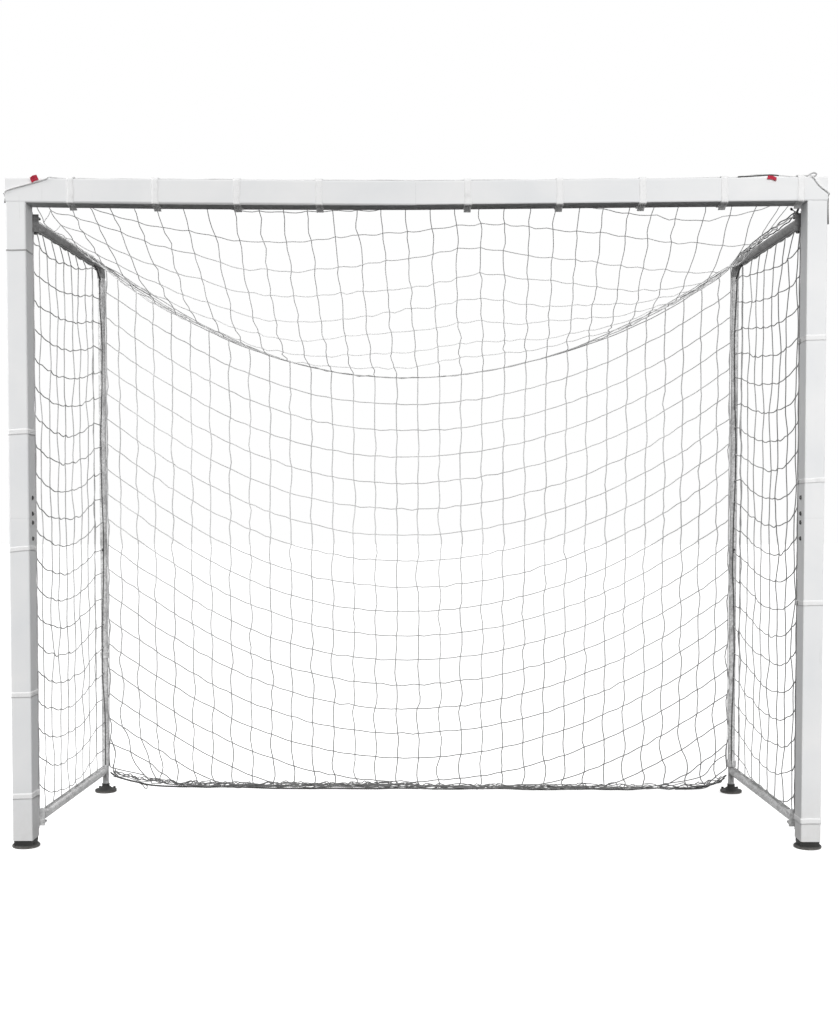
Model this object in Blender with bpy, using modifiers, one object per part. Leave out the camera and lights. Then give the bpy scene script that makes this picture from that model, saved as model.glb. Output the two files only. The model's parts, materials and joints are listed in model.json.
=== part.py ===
"""A free-standing goal: a white box-section mouth on rubber pads, two round-tube side frames that fold
in on upright pins behind the posts, and a knotted net laced to them by ropes and straps.

Metres, +Z up. The mouth faces -Y. Left and right are as seen from in front of the mouth."""

import math

import bmesh
import bpy
from mathutils import Vector

# ---- front frame ----
OVERALL_WIDTH = 2.438  # over the outer faces of the posts
BAR_TOP = 2.010
BAR_HEIGHT = 0.071
POST_WIDTH = 0.060
FRAME_DEPTH = 0.075  # front face to rear face of posts and bar
STEEL_WALL = 0.0025
SECTION_ROUND = 0.004
BAR_SAG = 0.011  # how far the long bar hangs at mid span
BAR_BAYS = 8  # straight lengths that follow the sag, in each half
POST_BOTTOM = 0.025
POST_SEAM = 1.000  # where the two lengths of a post meet

# ---- clearances ----
GAP = 0.0003  # between pieces that touch
SLIDE = 0.0005  # between a sleeve or plug and the section round it

# ---- inner sleeves, corner inserts and bolts ----
POST_SLEEVE = 0.170
BAR_SLEEVE = 0.300
SLEEVE_WALL = 0.003
SLEEVE_ROUND = 0.003
CORNER_LEG = 0.150
CORNER_PLATE = 0.005
BOLT_STEPS = (0.0135, 0.0615)  # above and below the seam of a post
BOLT_RADIUS = 0.004
BOLT_HEAD_RADIUS = 0.0068
BOLT_HEAD_HEIGHT = 0.0045
BOLT_TAIL = 0.004  # how far a bolt stands inside the sleeve
BOLT_SIDES = 10
HEAD_CROWN = 0.6  # flat top of a bolt head, as a share of its radius
HEAD_SIDE = 0.4  # straight side of a bolt head, as a share of its height

# ---- front feet ----
PAD_RADIUS = 0.0415
PAD_HEIGHT = 0.012
PAD_LIP = 0.003
PAD_SIDES = 28
BLOCK_INSET = 0.004  # the block under the post, inside the outline of the post
PLUG_DEPTH = 0.035  # how far the plug stands up inside the post

# ---- side frames ----
SIDE_DEPTH = 0.830  # front face of the mouth to the back post
PIVOT_X = 1.158
PIVOT_BACK = 0.024  # hinge pin behind the rear face of the post
BACK_X = 1.132  # the back posts stand closer together than the pins
TOP_TUBE_Z = 1.892
GROUND_TUBE_Z = 0.080
TUBE_RADIUS = 0.0143
TUBE_WALL = 0.0014
BEND_RADIUS = 0.040
BEND_STEPS = 6
BEND_TAIL = 0.004  # straight end below the bend
TUBE_END = 0.010  # how far a tube runs forward of its hinge pin
TUBE_SIDES = 16
BACK_TUBE_RADIUS = 0.0127
BACK_TUBE_WALL = 0.0012
BACK_SEAM = 0.8475  # where the two lengths of a back post meet, at its bolt
SPIGOT = 0.060  # how far one tube stands inside the next
BELL_RADIUS = 0.0170
BELL_LOW = 0.093
BELL_HEIGHT = 0.026
TAPERS = (0.88, 0.70)  # towards the end of the ground tube, as shares of its radius
TAPER_LENGTH = 0.025
BACK_BOLT_RADIUS = 0.0030
BACK_HEAD_RADIUS = 0.0048

# ---- back feet ----
BOOT_RADIUS = 0.0385
BOOT_HEIGHT = 0.031
BOOT_NECK = 0.0135
BOOT_FLARE = (0.62, 0.42)  # where the flare turns out, as shares of the radius and the height
BOOT_NECK_LOW = 0.68  # foot of the straight neck, as a share of the height
BOOT_RIM = 0.009
BOOT_CHAMFER = 0.002
BOOT_FLOOR = 0.010
NUB = (0.008, 0.005, 0.008)
NUB_SEAT = (0.8, 0.4)  # how much of a nub lies inside the rim and stands over it
NUB_TURN = math.radians(35)

# ---- hinge brackets and pins ----
EAR_HALF_WIDTH = 0.016
EAR_THICK = 0.004
EAR_PLAY = 0.0006
BRACKET_PLATE = 0.003
BRACKET_HALF_HEIGHT = 0.026
BRACKET_OUTER = 0.044  # plate width outwards from the pin
PIN_RADIUS = 0.004
PIN_HEAD_RADIUS = 0.0075
PIN_HEAD_HEIGHT = 0.005
PIN_NUT_RADIUS = 0.0085
PIN_NUT_HEIGHT = 0.011
PIN_CROWN = (0.7, 0.5)  # top of the pin's head, as shares of its radius and height
NUT_CROWN = (0.6, 0.6)  # end of the nut, in the same way
PIN_SIDES = 12
EAR_STEPS = 8

# ---- net, ropes, straps and tabs ----
NET_THICK = 0.004
NET_CORNER = 0.045  # cut off the side net inside the bend
NET_FRONT = 0.018  # front edge of the side net behind the pin
ROOF_COLUMNS = 12  # openings across the roof and the back
ROOF_ROWS = 5
ROOF_DROP_POWER = 7  # how soon the roof's side edge comes down onto the top tube
ROOF_BELLY = 0.030
BACK_ROWS = 8
NET_STRIP = 0.006  # width of the strips between the openings
BACK_BULGE = 0.020
ROPE_RADIUS = 0.003
ROPE_INSET = 0.014  # rope behind the front face, on top of the bar
ROPE_STEP = 0.110  # between points along the bar
CORNER_STEP = 0.020  # between points round the corners
REAR_ROPE_RADIUS = 0.004
REAR_ROPE_END = 1.885
REAR_ROPE_SAG = 0.380
GROUND_ROPE_END = 0.068
GROUND_ROPE_SAG = 0.050
ROPE_CORNERS = {"left": (0.134, 0.075), "right": (0.139, 0.125)}  # in along the bar, down the post
ROPE_RUN_UP = 0.045  # how far before the corner the rope starts to come forward
ROPE_EDGE = 0.012  # how far it takes to turn over the front edge of the bar
ROPE_BEND = 0.45  # how far down the rope is halfway across the corner
ROPE_TAILS = ((0.003, 0.006), (0.030, 0.026))  # back and down the outer side of the post
STRAP_WIDTH = 0.022
STRAP_THICK = 0.0015
STRAP_PLACES = {"left": (0.192, 0.445, 0.688, 0.932), "right": (1.065, 0.792, 0.547, 0.305, 0.079)}  # in
TABS = {"left": (0.089, 0.024, 0.020, 10.0), "right": (0.166, 0.030, 0.015, -4.0)}
TAB_THICK = 0.0015
TAB_LOW = 0.006  # middle of a tab under the top of the bar

# ---- places that follow ----
HALF_WIDTH = OVERALL_WIDTH / 2
ROPE_CLEAR = ROPE_RADIUS + 2 * GAP
TAB_STAND = ROPE_CLEAR + STRAP_THICK + ROPE_RADIUS + GAP + TAB_THICK
FRONT_REACH = max(PAD_RADIUS - FRAME_DEPTH / 2, TAB_STAND)
FRONT_Y = FRONT_REACH - (FRONT_REACH + SIDE_DEPTH + BOOT_RADIUS) / 2
FRAME_Y = FRONT_Y + FRAME_DEPTH / 2
REAR_Y = FRONT_Y + FRAME_DEPTH
BACK_Y = FRONT_Y + SIDE_DEPTH
PIVOT_Y = REAR_Y + PIVOT_BACK
TOE_IN = math.atan2(PIVOT_X - BACK_X, BACK_Y - PIVOT_Y)
REACH = math.hypot(PIVOT_X - BACK_X, BACK_Y - PIVOT_Y)
BAR_BOTTOM = BAR_TOP - BAR_HEIGHT
POST_X = HALF_WIDTH - POST_WIDTH / 2
POST_TOP = BAR_BOTTOM - GAP
BACK_TOP = TOP_TUBE_Z - BEND_RADIUS - BEND_TAIL
SPIGOT_RADIUS = BACK_TUBE_RADIUS - BACK_TUBE_WALL - GAP
SIDES = {"left": -1, "right": 1}

WHITE_PAINT = ("white_paint", (0.86, 0.87, 0.87), 0.38, 0.0)
ZINC = ("zinc_tube", (0.62, 0.63, 0.64), 0.34, 0.85)
DARK_STEEL = ("dark_steel", (0.05, 0.05, 0.05), 0.45, 0.7)
RUBBER = ("black_rubber", (0.025, 0.025, 0.025), 0.75, 0.0)
TWINE = ("net_twine", (0.66, 0.67, 0.67), 0.85, 0.0)
ROPE = ("border_rope", (0.30, 0.30, 0.30), 0.9, 0.0)
STRAP = ("white_strap", (0.84, 0.84, 0.84), 0.9, 0.0)
RED = ("red_tab", (0.65, 0.05, 0.04), 0.7, 0.0)


def clear_scene():
    for obj in list(bpy.data.objects):
        bpy.data.objects.remove(obj, do_unlink=True)


def collection(name):
    made = bpy.data.collections.new(name)
    bpy.context.scene.collection.children.link(made)
    return made


def material(spec):
    name, colour, roughness, metallic = spec
    if name in bpy.data.materials:
        return bpy.data.materials[name]
    made = bpy.data.materials.new(name)
    made.use_nodes = True
    shader = made.node_tree.nodes["Principled BSDF"]
    shader.inputs["Base Color"].default_value = (*colour, 1.0)
    shader.inputs["Roughness"].default_value = roughness
    shader.inputs["Metallic"].default_value = metallic
    made.diffuse_color = (*colour, 1.0)
    return made


def bar_drop(x):
    """How far the bar hangs at x."""
    return BAR_SAG * (1 - (x / HALF_WIDTH) ** 2)


def add(name, data, finish, parent=None, location=(0, 0, 0), rotation=(0, 0, 0)):
    obj = bpy.data.objects.new(name, data)
    goal.objects.link(obj)
    if finish:
        data.materials.append(material(finish))
    obj.parent = parent
    obj.location = location
    obj.rotation_euler = rotation
    return obj


def to_mesh_data(bm, name):
    data = bpy.data.meshes.new(name)
    bm.to_mesh(data)
    bm.free()
    return data


def settle(obj):
    """Turns a curve object into a mesh object at the same place, with its caps welded on."""
    bpy.context.view_layer.update()
    made = bpy.data.meshes.new_from_object(obj.evaluated_get(bpy.context.evaluated_depsgraph_get()))
    bm = bmesh.new()
    bm.from_mesh(made)
    bmesh.ops.remove_doubles(bm, verts=bm.verts, dist=1e-6)
    bm.to_mesh(made)
    bm.free()
    name, matrix, parent, home = obj.name, obj.matrix_world.copy(), obj.parent, obj.users_collection[0]
    bpy.data.objects.remove(obj, do_unlink=True)
    mesh_object = bpy.data.objects.new(name, made)
    home.objects.link(mesh_object)
    mesh_object.parent = parent
    mesh_object.matrix_world = matrix
    return mesh_object


def hollow(obj, wall):
    shell = obj.modifiers.new("wall", "SOLIDIFY")
    shell.thickness = wall
    shell.offset = -1
    shell.use_even_offset = True


def box_section(name, low, high, wall, rounding, finish, axis=2, closed=(False, False), bays=1):
    """A box-section tube between two corners, along an axis, with its ends open or closed."""
    low, high = Vector(low), Vector(high)
    centre = (low + high) / 2
    bm = bmesh.new()
    bmesh.ops.create_cube(bm, size=1.0)
    bmesh.ops.scale(bm, vec=high - low, verts=bm.verts)
    ends = [f for f in bm.faces if abs(f.normal[axis]) > 0.5 and not closed[int(f.normal[axis] > 0)]]
    bmesh.ops.delete(bm, geom=ends, context="FACES_ONLY")
    along = [e for e in bm.edges if abs((e.verts[0].co - e.verts[1].co)[axis]) > 1e-6]
    bmesh.ops.bevel(bm, geom=along, offset=rounding, segments=2, profile=0.5, affect="EDGES")
    length = (high - low)[axis]
    normal = Vector([float(i == axis) for i in range(3)])
    for bay in range(1, bays):
        cut_at = normal * (length * (bay / bays - 0.5))
        geometry = bm.verts[:] + bm.edges[:] + bm.faces[:]
        bmesh.ops.bisect_plane(bm, geom=geometry, plane_co=cut_at, plane_no=normal)
    if axis == 0:
        for vertex in bm.verts:
            vertex.co.z -= bar_drop(centre.x + vertex.co.x)
    obj = add(name, to_mesh_data(bm, name), finish, None, centre)
    hollow(obj, wall)
    return obj


def turned(name, profile, sides, finish, parent=None, location=(0, 0, 0), rotation=(0, 0, 0), ring=False):
    """Turns a profile of (radius, height) points, top to bottom down its outer side, about Z."""
    bm = bmesh.new()
    points = [bm.verts.new((radius, 0, height)) for radius, height in profile]
    pairs = list(zip(points, points[1:]))
    if ring:
        pairs.append((points[-1], points[0]))
    for pair in pairs:
        bm.edges.new(pair)
    obj = add(name, to_mesh_data(bm, name), finish, parent, location, rotation)
    screw = obj.modifiers.new("turn", "SCREW")
    screw.steps = screw.render_steps = sides
    screw.use_merge_vertices = True
    screw.merge_threshold = 0.0001
    screw.use_smooth_shade = True
    return obj


def pipe(name, points, radius, sides, finish, parent=None, location=(0, 0, 0), capped=True, shares=None):
    """A tube along a route of points. shares scales the radius at each of them."""
    curve = bpy.data.curves.new(name, "CURVE")
    curve.dimensions = "3D"
    curve.bevel_depth = radius
    curve.bevel_resolution = sides // 2 - 2
    curve.use_fill_caps = capped
    spline = curve.splines.new("POLY")
    spline.points.add(len(points) - 1)
    for index, point in enumerate(points):
        spline.points[index].co = (*point, 1.0)
        spline.points[index].radius = shares[index] if shares else 1.0
    return add(name, curve, finish, parent, location)


def flat_piece(name, outlines, thick, finish, parent=None, location=(0, 0, 0), rotation=(0, 0, 0)):
    """A plate of the given thickness; every outline after the first is an opening."""
    curve = bpy.data.curves.new(name, "CURVE")
    curve.dimensions = "2D"
    curve.fill_mode = "BOTH"
    curve.extrude = thick / 2
    for outline in outlines:
        spline = curve.splines.new("POLY")
        spline.points.add(len(outline) - 1)
        for index, (x, y) in enumerate(outline):
            spline.points[index].co = (x, y, 0, 1)
        spline.use_cyclic_u = True
    return settle(add(name, curve, finish, parent, location, rotation))


def rod(name, radius, length, sides, parent, location, rotation=(0, 0, 0)):
    bm = bmesh.new()
    bmesh.ops.create_cone(bm, cap_ends=True, segments=sides, radius1=radius, radius2=radius, depth=length)
    return add(name, to_mesh_data(bm, name), None, parent, location, rotation)


def block(name, size, parent, location, rotation=(0, 0, 0), finish=None):
    bm = bmesh.new()
    bmesh.ops.create_cube(bm, size=1.0)
    bmesh.ops.scale(bm, vec=size, verts=bm.verts)
    return add(name, to_mesh_data(bm, name), finish, parent, location, rotation)


def combine(obj, helper, operation):
    """Cuts a hidden helper from the object, or joins it on."""
    helper.hide_render = True
    helper.display_type = "WIRE"
    for home in list(helper.users_collection):
        home.objects.unlink(helper)
    cutters.objects.link(helper)
    boolean = obj.modifiers.new(helper.name, "BOOLEAN")
    boolean.operation = operation
    boolean.solver = "EXACT"
    boolean.object = helper


def smooth_route(points, step):
    """Points about one step apart on a smooth curve through the given ones."""
    points = [Vector(p) for p in points]
    ends = [2 * points[0] - points[1]] + points + [2 * points[-1] - points[-2]]
    route = []
    for before, start, end, after in zip(ends, ends[1:], ends[2:], ends[3:]):
        parts = max(1, round((end - start).length / step))
        for part in range(parts):
            t = part / parts
            route.append(
                0.5
                * (
                    2 * start
                    + (end - before) * t
                    + (2 * before - 5 * start + 4 * end - after) * t**2
                    + (3 * start - before - 3 * end + after) * t**3
                )
            )
    return route + [points[-1]]


# ---- front frame ----


def make_crossbar():
    for side, sign in SIDES.items():
        inner, outer = sorted((sign * GAP / 2, sign * HALF_WIDTH))
        bar = box_section(
            f"crossbar_{side}",
            (inner, FRONT_Y, BAR_BOTTOM),
            (outer, REAR_Y, BAR_TOP),
            STEEL_WALL,
            SECTION_ROUND,
            WHITE_PAINT,
            axis=0,
            closed=(sign < 0, sign > 0),
            bays=BAR_BAYS,
        )
        slot_size = (
            POST_WIDTH - 2 * STEEL_WALL + GAP,
            FRAME_DEPTH - 2 * STEEL_WALL,
            4 * STEEL_WALL + 2 * BAR_SAG,
        )
        slot = block(f"corner_slot_{side}", slot_size, None, (sign * POST_X, FRAME_Y, BAR_BOTTOM))
        combine(bar, slot, "DIFFERENCE")
    inset = STEEL_WALL + SLIDE
    box_section(
        "crossbar_splice",
        (-BAR_SLEEVE / 2, FRONT_Y + inset, BAR_BOTTOM + inset),
        (BAR_SLEEVE / 2, REAR_Y - inset, BAR_TOP - inset),
        SLEEVE_WALL,
        SLEEVE_ROUND,
        ZINC,
        axis=0,
        bays=4,
    )


def make_posts():
    inset = STEEL_WALL + SLIDE
    for side, sign in SIDES.items():
        low_x, high_x = sorted((sign * HALF_WIDTH, sign * (HALF_WIDTH - POST_WIDTH)))
        lengths = {
            "lower": (POST_BOTTOM, POST_SEAM - GAP / 2),
            "upper": (POST_SEAM + GAP / 2, POST_TOP - bar_drop(HALF_WIDTH - POST_WIDTH)),
        }
        sections = {}
        for part, (low_z, high_z) in lengths.items():
            sections[part] = box_section(
                f"post_{part}_{side}",
                (low_x, FRONT_Y, low_z),
                (high_x, REAR_Y, high_z),
                STEEL_WALL,
                SECTION_ROUND,
                WHITE_PAINT,
            )
        sleeve = box_section(
            f"post_splice_{side}",
            (low_x + inset, FRONT_Y + inset, POST_SEAM - POST_SLEEVE / 2),
            (high_x - inset, REAR_Y - inset, POST_SEAM + POST_SLEEVE / 2),
            SLEEVE_WALL,
            SLEEVE_ROUND,
            ZINC,
        )
        heights = [POST_SEAM - step for step in reversed(BOLT_STEPS)]
        heights += [POST_SEAM + step for step in BOLT_STEPS]
        for number, height in enumerate(heights, 1):
            place_bolt(f"post_bolt_{side}_{number}", side, height, sections, sleeve)


def bolt_profile(shank, radius, head_radius, head_height):
    """A round-headed bolt whose head rests at height 0 and whose shank runs down."""
    return [
        (0, head_height),
        (HEAD_CROWN * head_radius, head_height),
        (head_radius, HEAD_SIDE * head_height),
        (head_radius, GAP),
        (radius, GAP),
        (radius, -shank),
        (0, -shank),
    ]


def place_bolt(name, side, height, sections, sleeve):
    """A bolt through the inner side face of the post and the sleeve behind it, with its two holes."""
    sign = SIDES[side]
    face_x = sign * (HALF_WIDTH - POST_WIDTH)
    turn = (0, -sign * math.pi / 2, 0)
    shank = STEEL_WALL + SLIDE + SLEEVE_WALL + BOLT_TAIL
    profile = bolt_profile(shank, BOLT_RADIUS, BOLT_HEAD_RADIUS, BOLT_HEAD_HEIGHT)
    turned(name, profile, BOLT_SIDES, DARK_STEEL, None, (face_x, FRAME_Y, height), turn)
    section = sections["lower" if height < POST_SEAM else "upper"]
    for target in (section, sleeve):
        hole_name = f"{name}_hole_{target.name}"
        hole = rod(hole_name, BOLT_RADIUS + GAP, 2 * shank, BOLT_SIDES, None, (face_x, FRAME_Y, height), turn)
        combine(target, hole, "DIFFERENCE")


def make_corner_inserts():
    """An L-shaped insert that ties the post to the bar: an outline of plate round an open middle."""
    inset = STEEL_WALL + SLIDE
    outer = HALF_WIDTH - inset
    inner = HALF_WIDTH - POST_WIDTH + inset
    top = BAR_TOP - inset
    under = BAR_BOTTOM + inset
    leg_end = HALF_WIDTH - POST_WIDTH - CORNER_LEG
    leg_bottom = BAR_BOTTOM - CORNER_LEG
    plate = CORNER_PLATE
    outline = [
        (outer, leg_bottom),
        (outer, top),
        (inner, top),
        (leg_end, top),
        (leg_end, under),
        (inner, under),
        (inner, leg_bottom),
    ]
    opening = [
        (outer - plate, leg_bottom + plate),
        (outer - plate, top - plate),
        (inner, top - plate),
        (leg_end + plate, top - plate),
        (leg_end + plate, under + plate),
        (inner + plate, under + plate),
        (inner + plate, leg_bottom + plate),
    ]
    for side, sign in SIDES.items():
        shapes = [[(sign * x, z - bar_drop(x)) for x, z in shape] for shape in (outline, opening)]
        thick = FRAME_DEPTH - 2 * (inset + SLIDE)
        stand = (math.pi / 2, 0, 0)
        flat_piece(f"corner_bracket_{side}", shapes, thick, ZINC, None, (0, FRAME_Y, 0), stand)


def make_front_feet():
    profile = [
        (0, PAD_HEIGHT),
        (PAD_RADIUS - 3 * PAD_LIP, PAD_HEIGHT),
        (PAD_RADIUS - PAD_LIP, PAD_HEIGHT - PAD_LIP),
        (PAD_RADIUS, PAD_HEIGHT - 2 * PAD_LIP),
        (PAD_RADIUS, PAD_LIP / 2),
        (PAD_RADIUS - PAD_LIP / 2, 0),
        (0, 0),
    ]
    inset = STEEL_WALL + SLIDE
    for side, sign in SIDES.items():
        x = sign * POST_X
        foot = turned(f"front_foot_{side}", profile, PAD_SIDES, RUBBER, None, (x, FRAME_Y, 0))
        block_height = POST_BOTTOM - GAP - PAD_HEIGHT / 2
        block_size = (POST_WIDTH - 2 * BLOCK_INSET, FRAME_DEPTH - 2 * BLOCK_INSET, block_height)
        neck = block(f"foot_block_{side}", block_size, None, (x, FRAME_Y, PAD_HEIGHT / 2 + block_height / 2))
        plug_low = PAD_HEIGHT
        plug_high = POST_BOTTOM + PLUG_DEPTH
        plug_size = (POST_WIDTH - 2 * inset, FRAME_DEPTH - 2 * (inset + SLIDE), plug_high - plug_low)
        plug = block(f"foot_plug_{side}", plug_size, None, (x, FRAME_Y, (plug_low + plug_high) / 2))
        combine(foot, neck, "UNION")
        combine(foot, plug, "UNION")


# ---- hinges ----


def make_hinges():
    """At each height a clevis on the rear of the post, and an upright pin through it and the tube."""
    ear_low = TUBE_RADIUS + EAR_PLAY
    ear_high = ear_low + EAR_THICK
    plate_y = -PIVOT_BACK + GAP
    for side, sign in SIDES.items():
        for place, height in (("upper", TOP_TUBE_Z), ("lower", GROUND_TUBE_Z)):
            spot = (sign * PIVOT_X, PIVOT_Y, height)
            plate_low, plate_high = sorted((-sign * EAR_HALF_WIDTH, sign * BRACKET_OUTER))
            size = (plate_high - plate_low, BRACKET_PLATE, 2 * BRACKET_HALF_HEIGHT)
            plate_centre = (plate_low + plate_high) / 2
            spot_plate = (spot[0] + plate_centre, PIVOT_Y + plate_y + BRACKET_PLATE / 2, height)
            bracket = block(f"{place}_bracket_{side}", size, None, spot_plate, finish=WHITE_PAINT)
            for level in (-1, 1):
                middle = height + level * (ear_low + ear_high) / 2
                ear = flat_piece(
                    f"{place}_ear_{side}_{level + 2}",
                    [ear_outline(plate_y + BRACKET_PLATE / 2)],
                    EAR_THICK,
                    None,
                    None,
                    (spot[0], PIVOT_Y, middle),
                )
                combine(bracket, ear, "UNION")
            hole = rod(f"{place}_pin_hole_{side}", PIN_RADIUS + GAP, 4 * ear_high, PIN_SIDES, None, spot)
            combine(bracket, hole, "DIFFERENCE")
            profile = pin_profile(ear_high + GAP)
            turned(f"{place}_hinge_pin_{side}", profile, PIN_SIDES, DARK_STEEL, None, spot)


def ear_outline(rear_y):
    turn = [math.pi * step / EAR_STEPS for step in range(EAR_STEPS + 1)]
    rounded = [(EAR_HALF_WIDTH * math.cos(a), EAR_HALF_WIDTH * math.sin(a)) for a in turn]
    return rounded + [(-EAR_HALF_WIDTH, rear_y), (EAR_HALF_WIDTH, rear_y)]


def pin_profile(seat):
    return [
        (0, seat + PIN_HEAD_HEIGHT),
        (PIN_CROWN[0] * PIN_HEAD_RADIUS, seat + PIN_HEAD_HEIGHT),
        (PIN_HEAD_RADIUS, seat + PIN_CROWN[1] * PIN_HEAD_HEIGHT),
        (PIN_HEAD_RADIUS, seat),
        (PIN_RADIUS, seat),
        (PIN_RADIUS, -seat),
        (PIN_NUT_RADIUS, -seat),
        (PIN_NUT_RADIUS, -seat - NUT_CROWN[1] * PIN_NUT_HEIGHT),
        (NUT_CROWN[0] * PIN_NUT_RADIUS, -seat - PIN_NUT_HEIGHT),
        (0, -seat - PIN_NUT_HEIGHT),
    ]


# ---- side frames, drawn about their hinge pins: x across, y back along the frame ----


def bent_route():
    """Back from the hinge pin and round the bend to the seam with the back post."""
    route = [(0, -TUBE_END, 0), (0, REACH - BEND_RADIUS, 0)]
    for step in range(1, BEND_STEPS + 1):
        angle = math.pi / 2 * step / BEND_STEPS
        along = REACH - BEND_RADIUS + BEND_RADIUS * math.sin(angle)
        route.append((0, along, BEND_RADIUS * (math.cos(angle) - 1)))
    return route + [(0, REACH, -BEND_RADIUS - BEND_TAIL + GAP)]


def make_top_tube(side, frame):
    home = (0, 0, TOP_TUBE_Z)
    tube = pipe(f"top_tube_{side}", bent_route(), TUBE_RADIUS, TUBE_SIDES, ZINC, frame, home, capped=False)
    tube = settle(tube)
    hollow(tube, TUBE_WALL)
    spigot_top = BACK_TOP + BEND_TAIL
    spigot_low = BACK_TOP - SPIGOT
    spot = (0, REACH, (spigot_top + spigot_low) / 2)
    length = spigot_top - spigot_low
    spigot = rod(f"top_spigot_{side}", SPIGOT_RADIUS, length, TUBE_SIDES, frame, spot)
    collar_spot = (0, REACH, BACK_TOP + BEND_TAIL / 2 + GAP / 2)
    collar_size = BEND_TAIL - GAP
    collar = rod(f"top_plug_{side}", TUBE_RADIUS - TUBE_WALL / 2, collar_size, TUBE_SIDES, frame, collar_spot)
    combine(tube, spigot, "UNION")
    combine(tube, collar, "UNION")
    hole = rod(f"top_pin_hole_{side}", PIN_RADIUS + GAP, 4 * TUBE_RADIUS, PIN_SIDES, frame, home)
    combine(tube, hole, "DIFFERENCE")


def make_ground_tube(side, frame):
    """The ground tube, tapered into the upright stub that the foot and the back post slide over."""
    home = (0, 0, GROUND_TUBE_Z)
    stations = [(-TUBE_END, 1), (REACH - 2 * TAPER_LENGTH, 1), (REACH - TAPER_LENGTH, TAPERS[0])]
    stations.append((REACH - SPIGOT_RADIUS / 4, TAPERS[1]))
    route = [(0, along, 0) for along, _ in stations]
    shares = [share for _, share in stations]
    name = f"ground_tube_{side}"
    tube = settle(pipe(name, route, TUBE_RADIUS, TUBE_SIDES, ZINC, frame, home, False, shares))
    hollow(tube, TUBE_WALL)
    stub_low = BOOT_FLOOR + GAP
    stub_high = BELL_LOW + SPIGOT
    spot = (0, REACH, (stub_low + stub_high) / 2)
    stub = rod(f"stub_{side}", SPIGOT_RADIUS, stub_high - stub_low, TUBE_SIDES, frame, spot)
    combine(tube, stub, "UNION")
    hole = rod(f"ground_pin_hole_{side}", PIN_RADIUS + GAP, 4 * TUBE_RADIUS, PIN_SIDES, frame, home)
    combine(tube, hole, "DIFFERENCE")


def make_back_post(side, frame):
    """Two lengths: the lower is reduced at its top to slide into the upper, and a bolt locks them."""
    outer, bore = BACK_TUBE_RADIUS, BACK_TUBE_RADIUS - BACK_TUBE_WALL
    spigot_bore = SPIGOT_RADIUS - BACK_TUBE_WALL
    seat = (0, REACH, 0)
    upper = [(bore, BACK_TOP), (outer, BACK_TOP), (outer, BACK_SEAM + GAP), (bore, BACK_SEAM + GAP)]
    upper_tube = turned(f"back_post_upper_{side}", upper, TUBE_SIDES, ZINC, frame, seat, ring=True)
    lower = [
        (spigot_bore, BACK_SEAM + SPIGOT),
        (SPIGOT_RADIUS, BACK_SEAM + SPIGOT),
        (SPIGOT_RADIUS, BACK_SEAM),
        (outer, BACK_SEAM),
    ]
    if side == "right":
        lower += [
            (outer, BELL_LOW + BELL_HEIGHT),
            (BELL_RADIUS, BELL_LOW + BELL_HEIGHT - (BELL_RADIUS - outer)),
            (BELL_RADIUS, BELL_LOW),
        ]
    else:
        lower += [(outer, BELL_LOW)]
    lower += [(bore, BELL_LOW), (bore, BACK_SEAM - BACK_TUBE_WALL), (spigot_bore, BACK_SEAM)]
    lower_tube = turned(f"back_post_lower_{side}", lower, TUBE_SIDES, ZINC, frame, seat, ring=True)
    place_back_bolt(side, frame, upper_tube, lower_tube)


def place_back_bolt(side, frame, upper_tube, lower_tube):
    height = BACK_SEAM + SPIGOT / 2
    turn = (math.pi / 2, 0, 0)
    face = (0, REACH - BACK_TUBE_RADIUS, height)
    shank = BACK_TUBE_WALL * 2 + GAP + BOLT_TAIL
    profile = bolt_profile(shank, BACK_BOLT_RADIUS, BACK_HEAD_RADIUS, BOLT_HEAD_HEIGHT)
    turned(f"back_post_bolt_{side}", profile, BOLT_SIDES, DARK_STEEL, frame, face, turn)
    for target in (upper_tube, lower_tube):
        hole_name = f"back_bolt_hole_{target.name}"
        hole = rod(hole_name, BACK_BOLT_RADIUS + GAP, 2 * shank, BOLT_SIDES, frame, face, turn)
        combine(target, hole, "DIFFERENCE")


def make_back_foot(side, frame):
    pocket = SPIGOT_RADIUS + GAP
    profile = [
        (0, BOOT_FLOOR),
        (pocket, BOOT_FLOOR),
        (pocket, BOOT_HEIGHT),
        (BOOT_NECK, BOOT_HEIGHT),
        (BOOT_NECK, BOOT_NECK_LOW * BOOT_HEIGHT),
        (BOOT_FLARE[0] * BOOT_RADIUS, BOOT_FLARE[1] * BOOT_HEIGHT),
        (BOOT_RADIUS, BOOT_RIM),
        (BOOT_RADIUS, BOOT_CHAMFER),
        (BOOT_RADIUS - BOOT_CHAMFER, 0),
        (0, 0),
    ]
    foot = turned(f"back_foot_{side}", profile, PAD_SIDES, RUBBER, frame, (0, REACH, 0))
    for number in (-1, 1):
        angle = number * math.pi / 2 - math.pi / 2 + number * NUB_TURN
        reach = BOOT_RADIUS - NUB[0] * NUB_SEAT[0]
        spot = (reach * math.cos(angle), REACH + reach * math.sin(angle), BOOT_RIM + NUB[2] * NUB_SEAT[1])
        nub = block(f"foot_nub_{side}_{number + 2}", NUB, frame, spot, (0, 0, angle))
        combine(foot, nub, "UNION")


def make_side_net(side, frame):
    """A thin panel inside the tubes, with its rear top corner cut off inside the bend."""
    front = NET_FRONT
    rear = REACH - BELL_RADIUS - GAP
    low = GROUND_TUBE_Z + TUBE_RADIUS + GAP
    high = TOP_TUBE_Z - TUBE_RADIUS - GAP
    outline = [(front, low), (rear, low), (rear, high - NET_CORNER), (rear - NET_CORNER, high), (front, high)]
    stand = (math.pi / 2, 0, math.pi / 2)
    flat_piece(f"side_net_{side}", [outline], NET_THICK, TWINE, frame, (0, 0, 0), stand)


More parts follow.
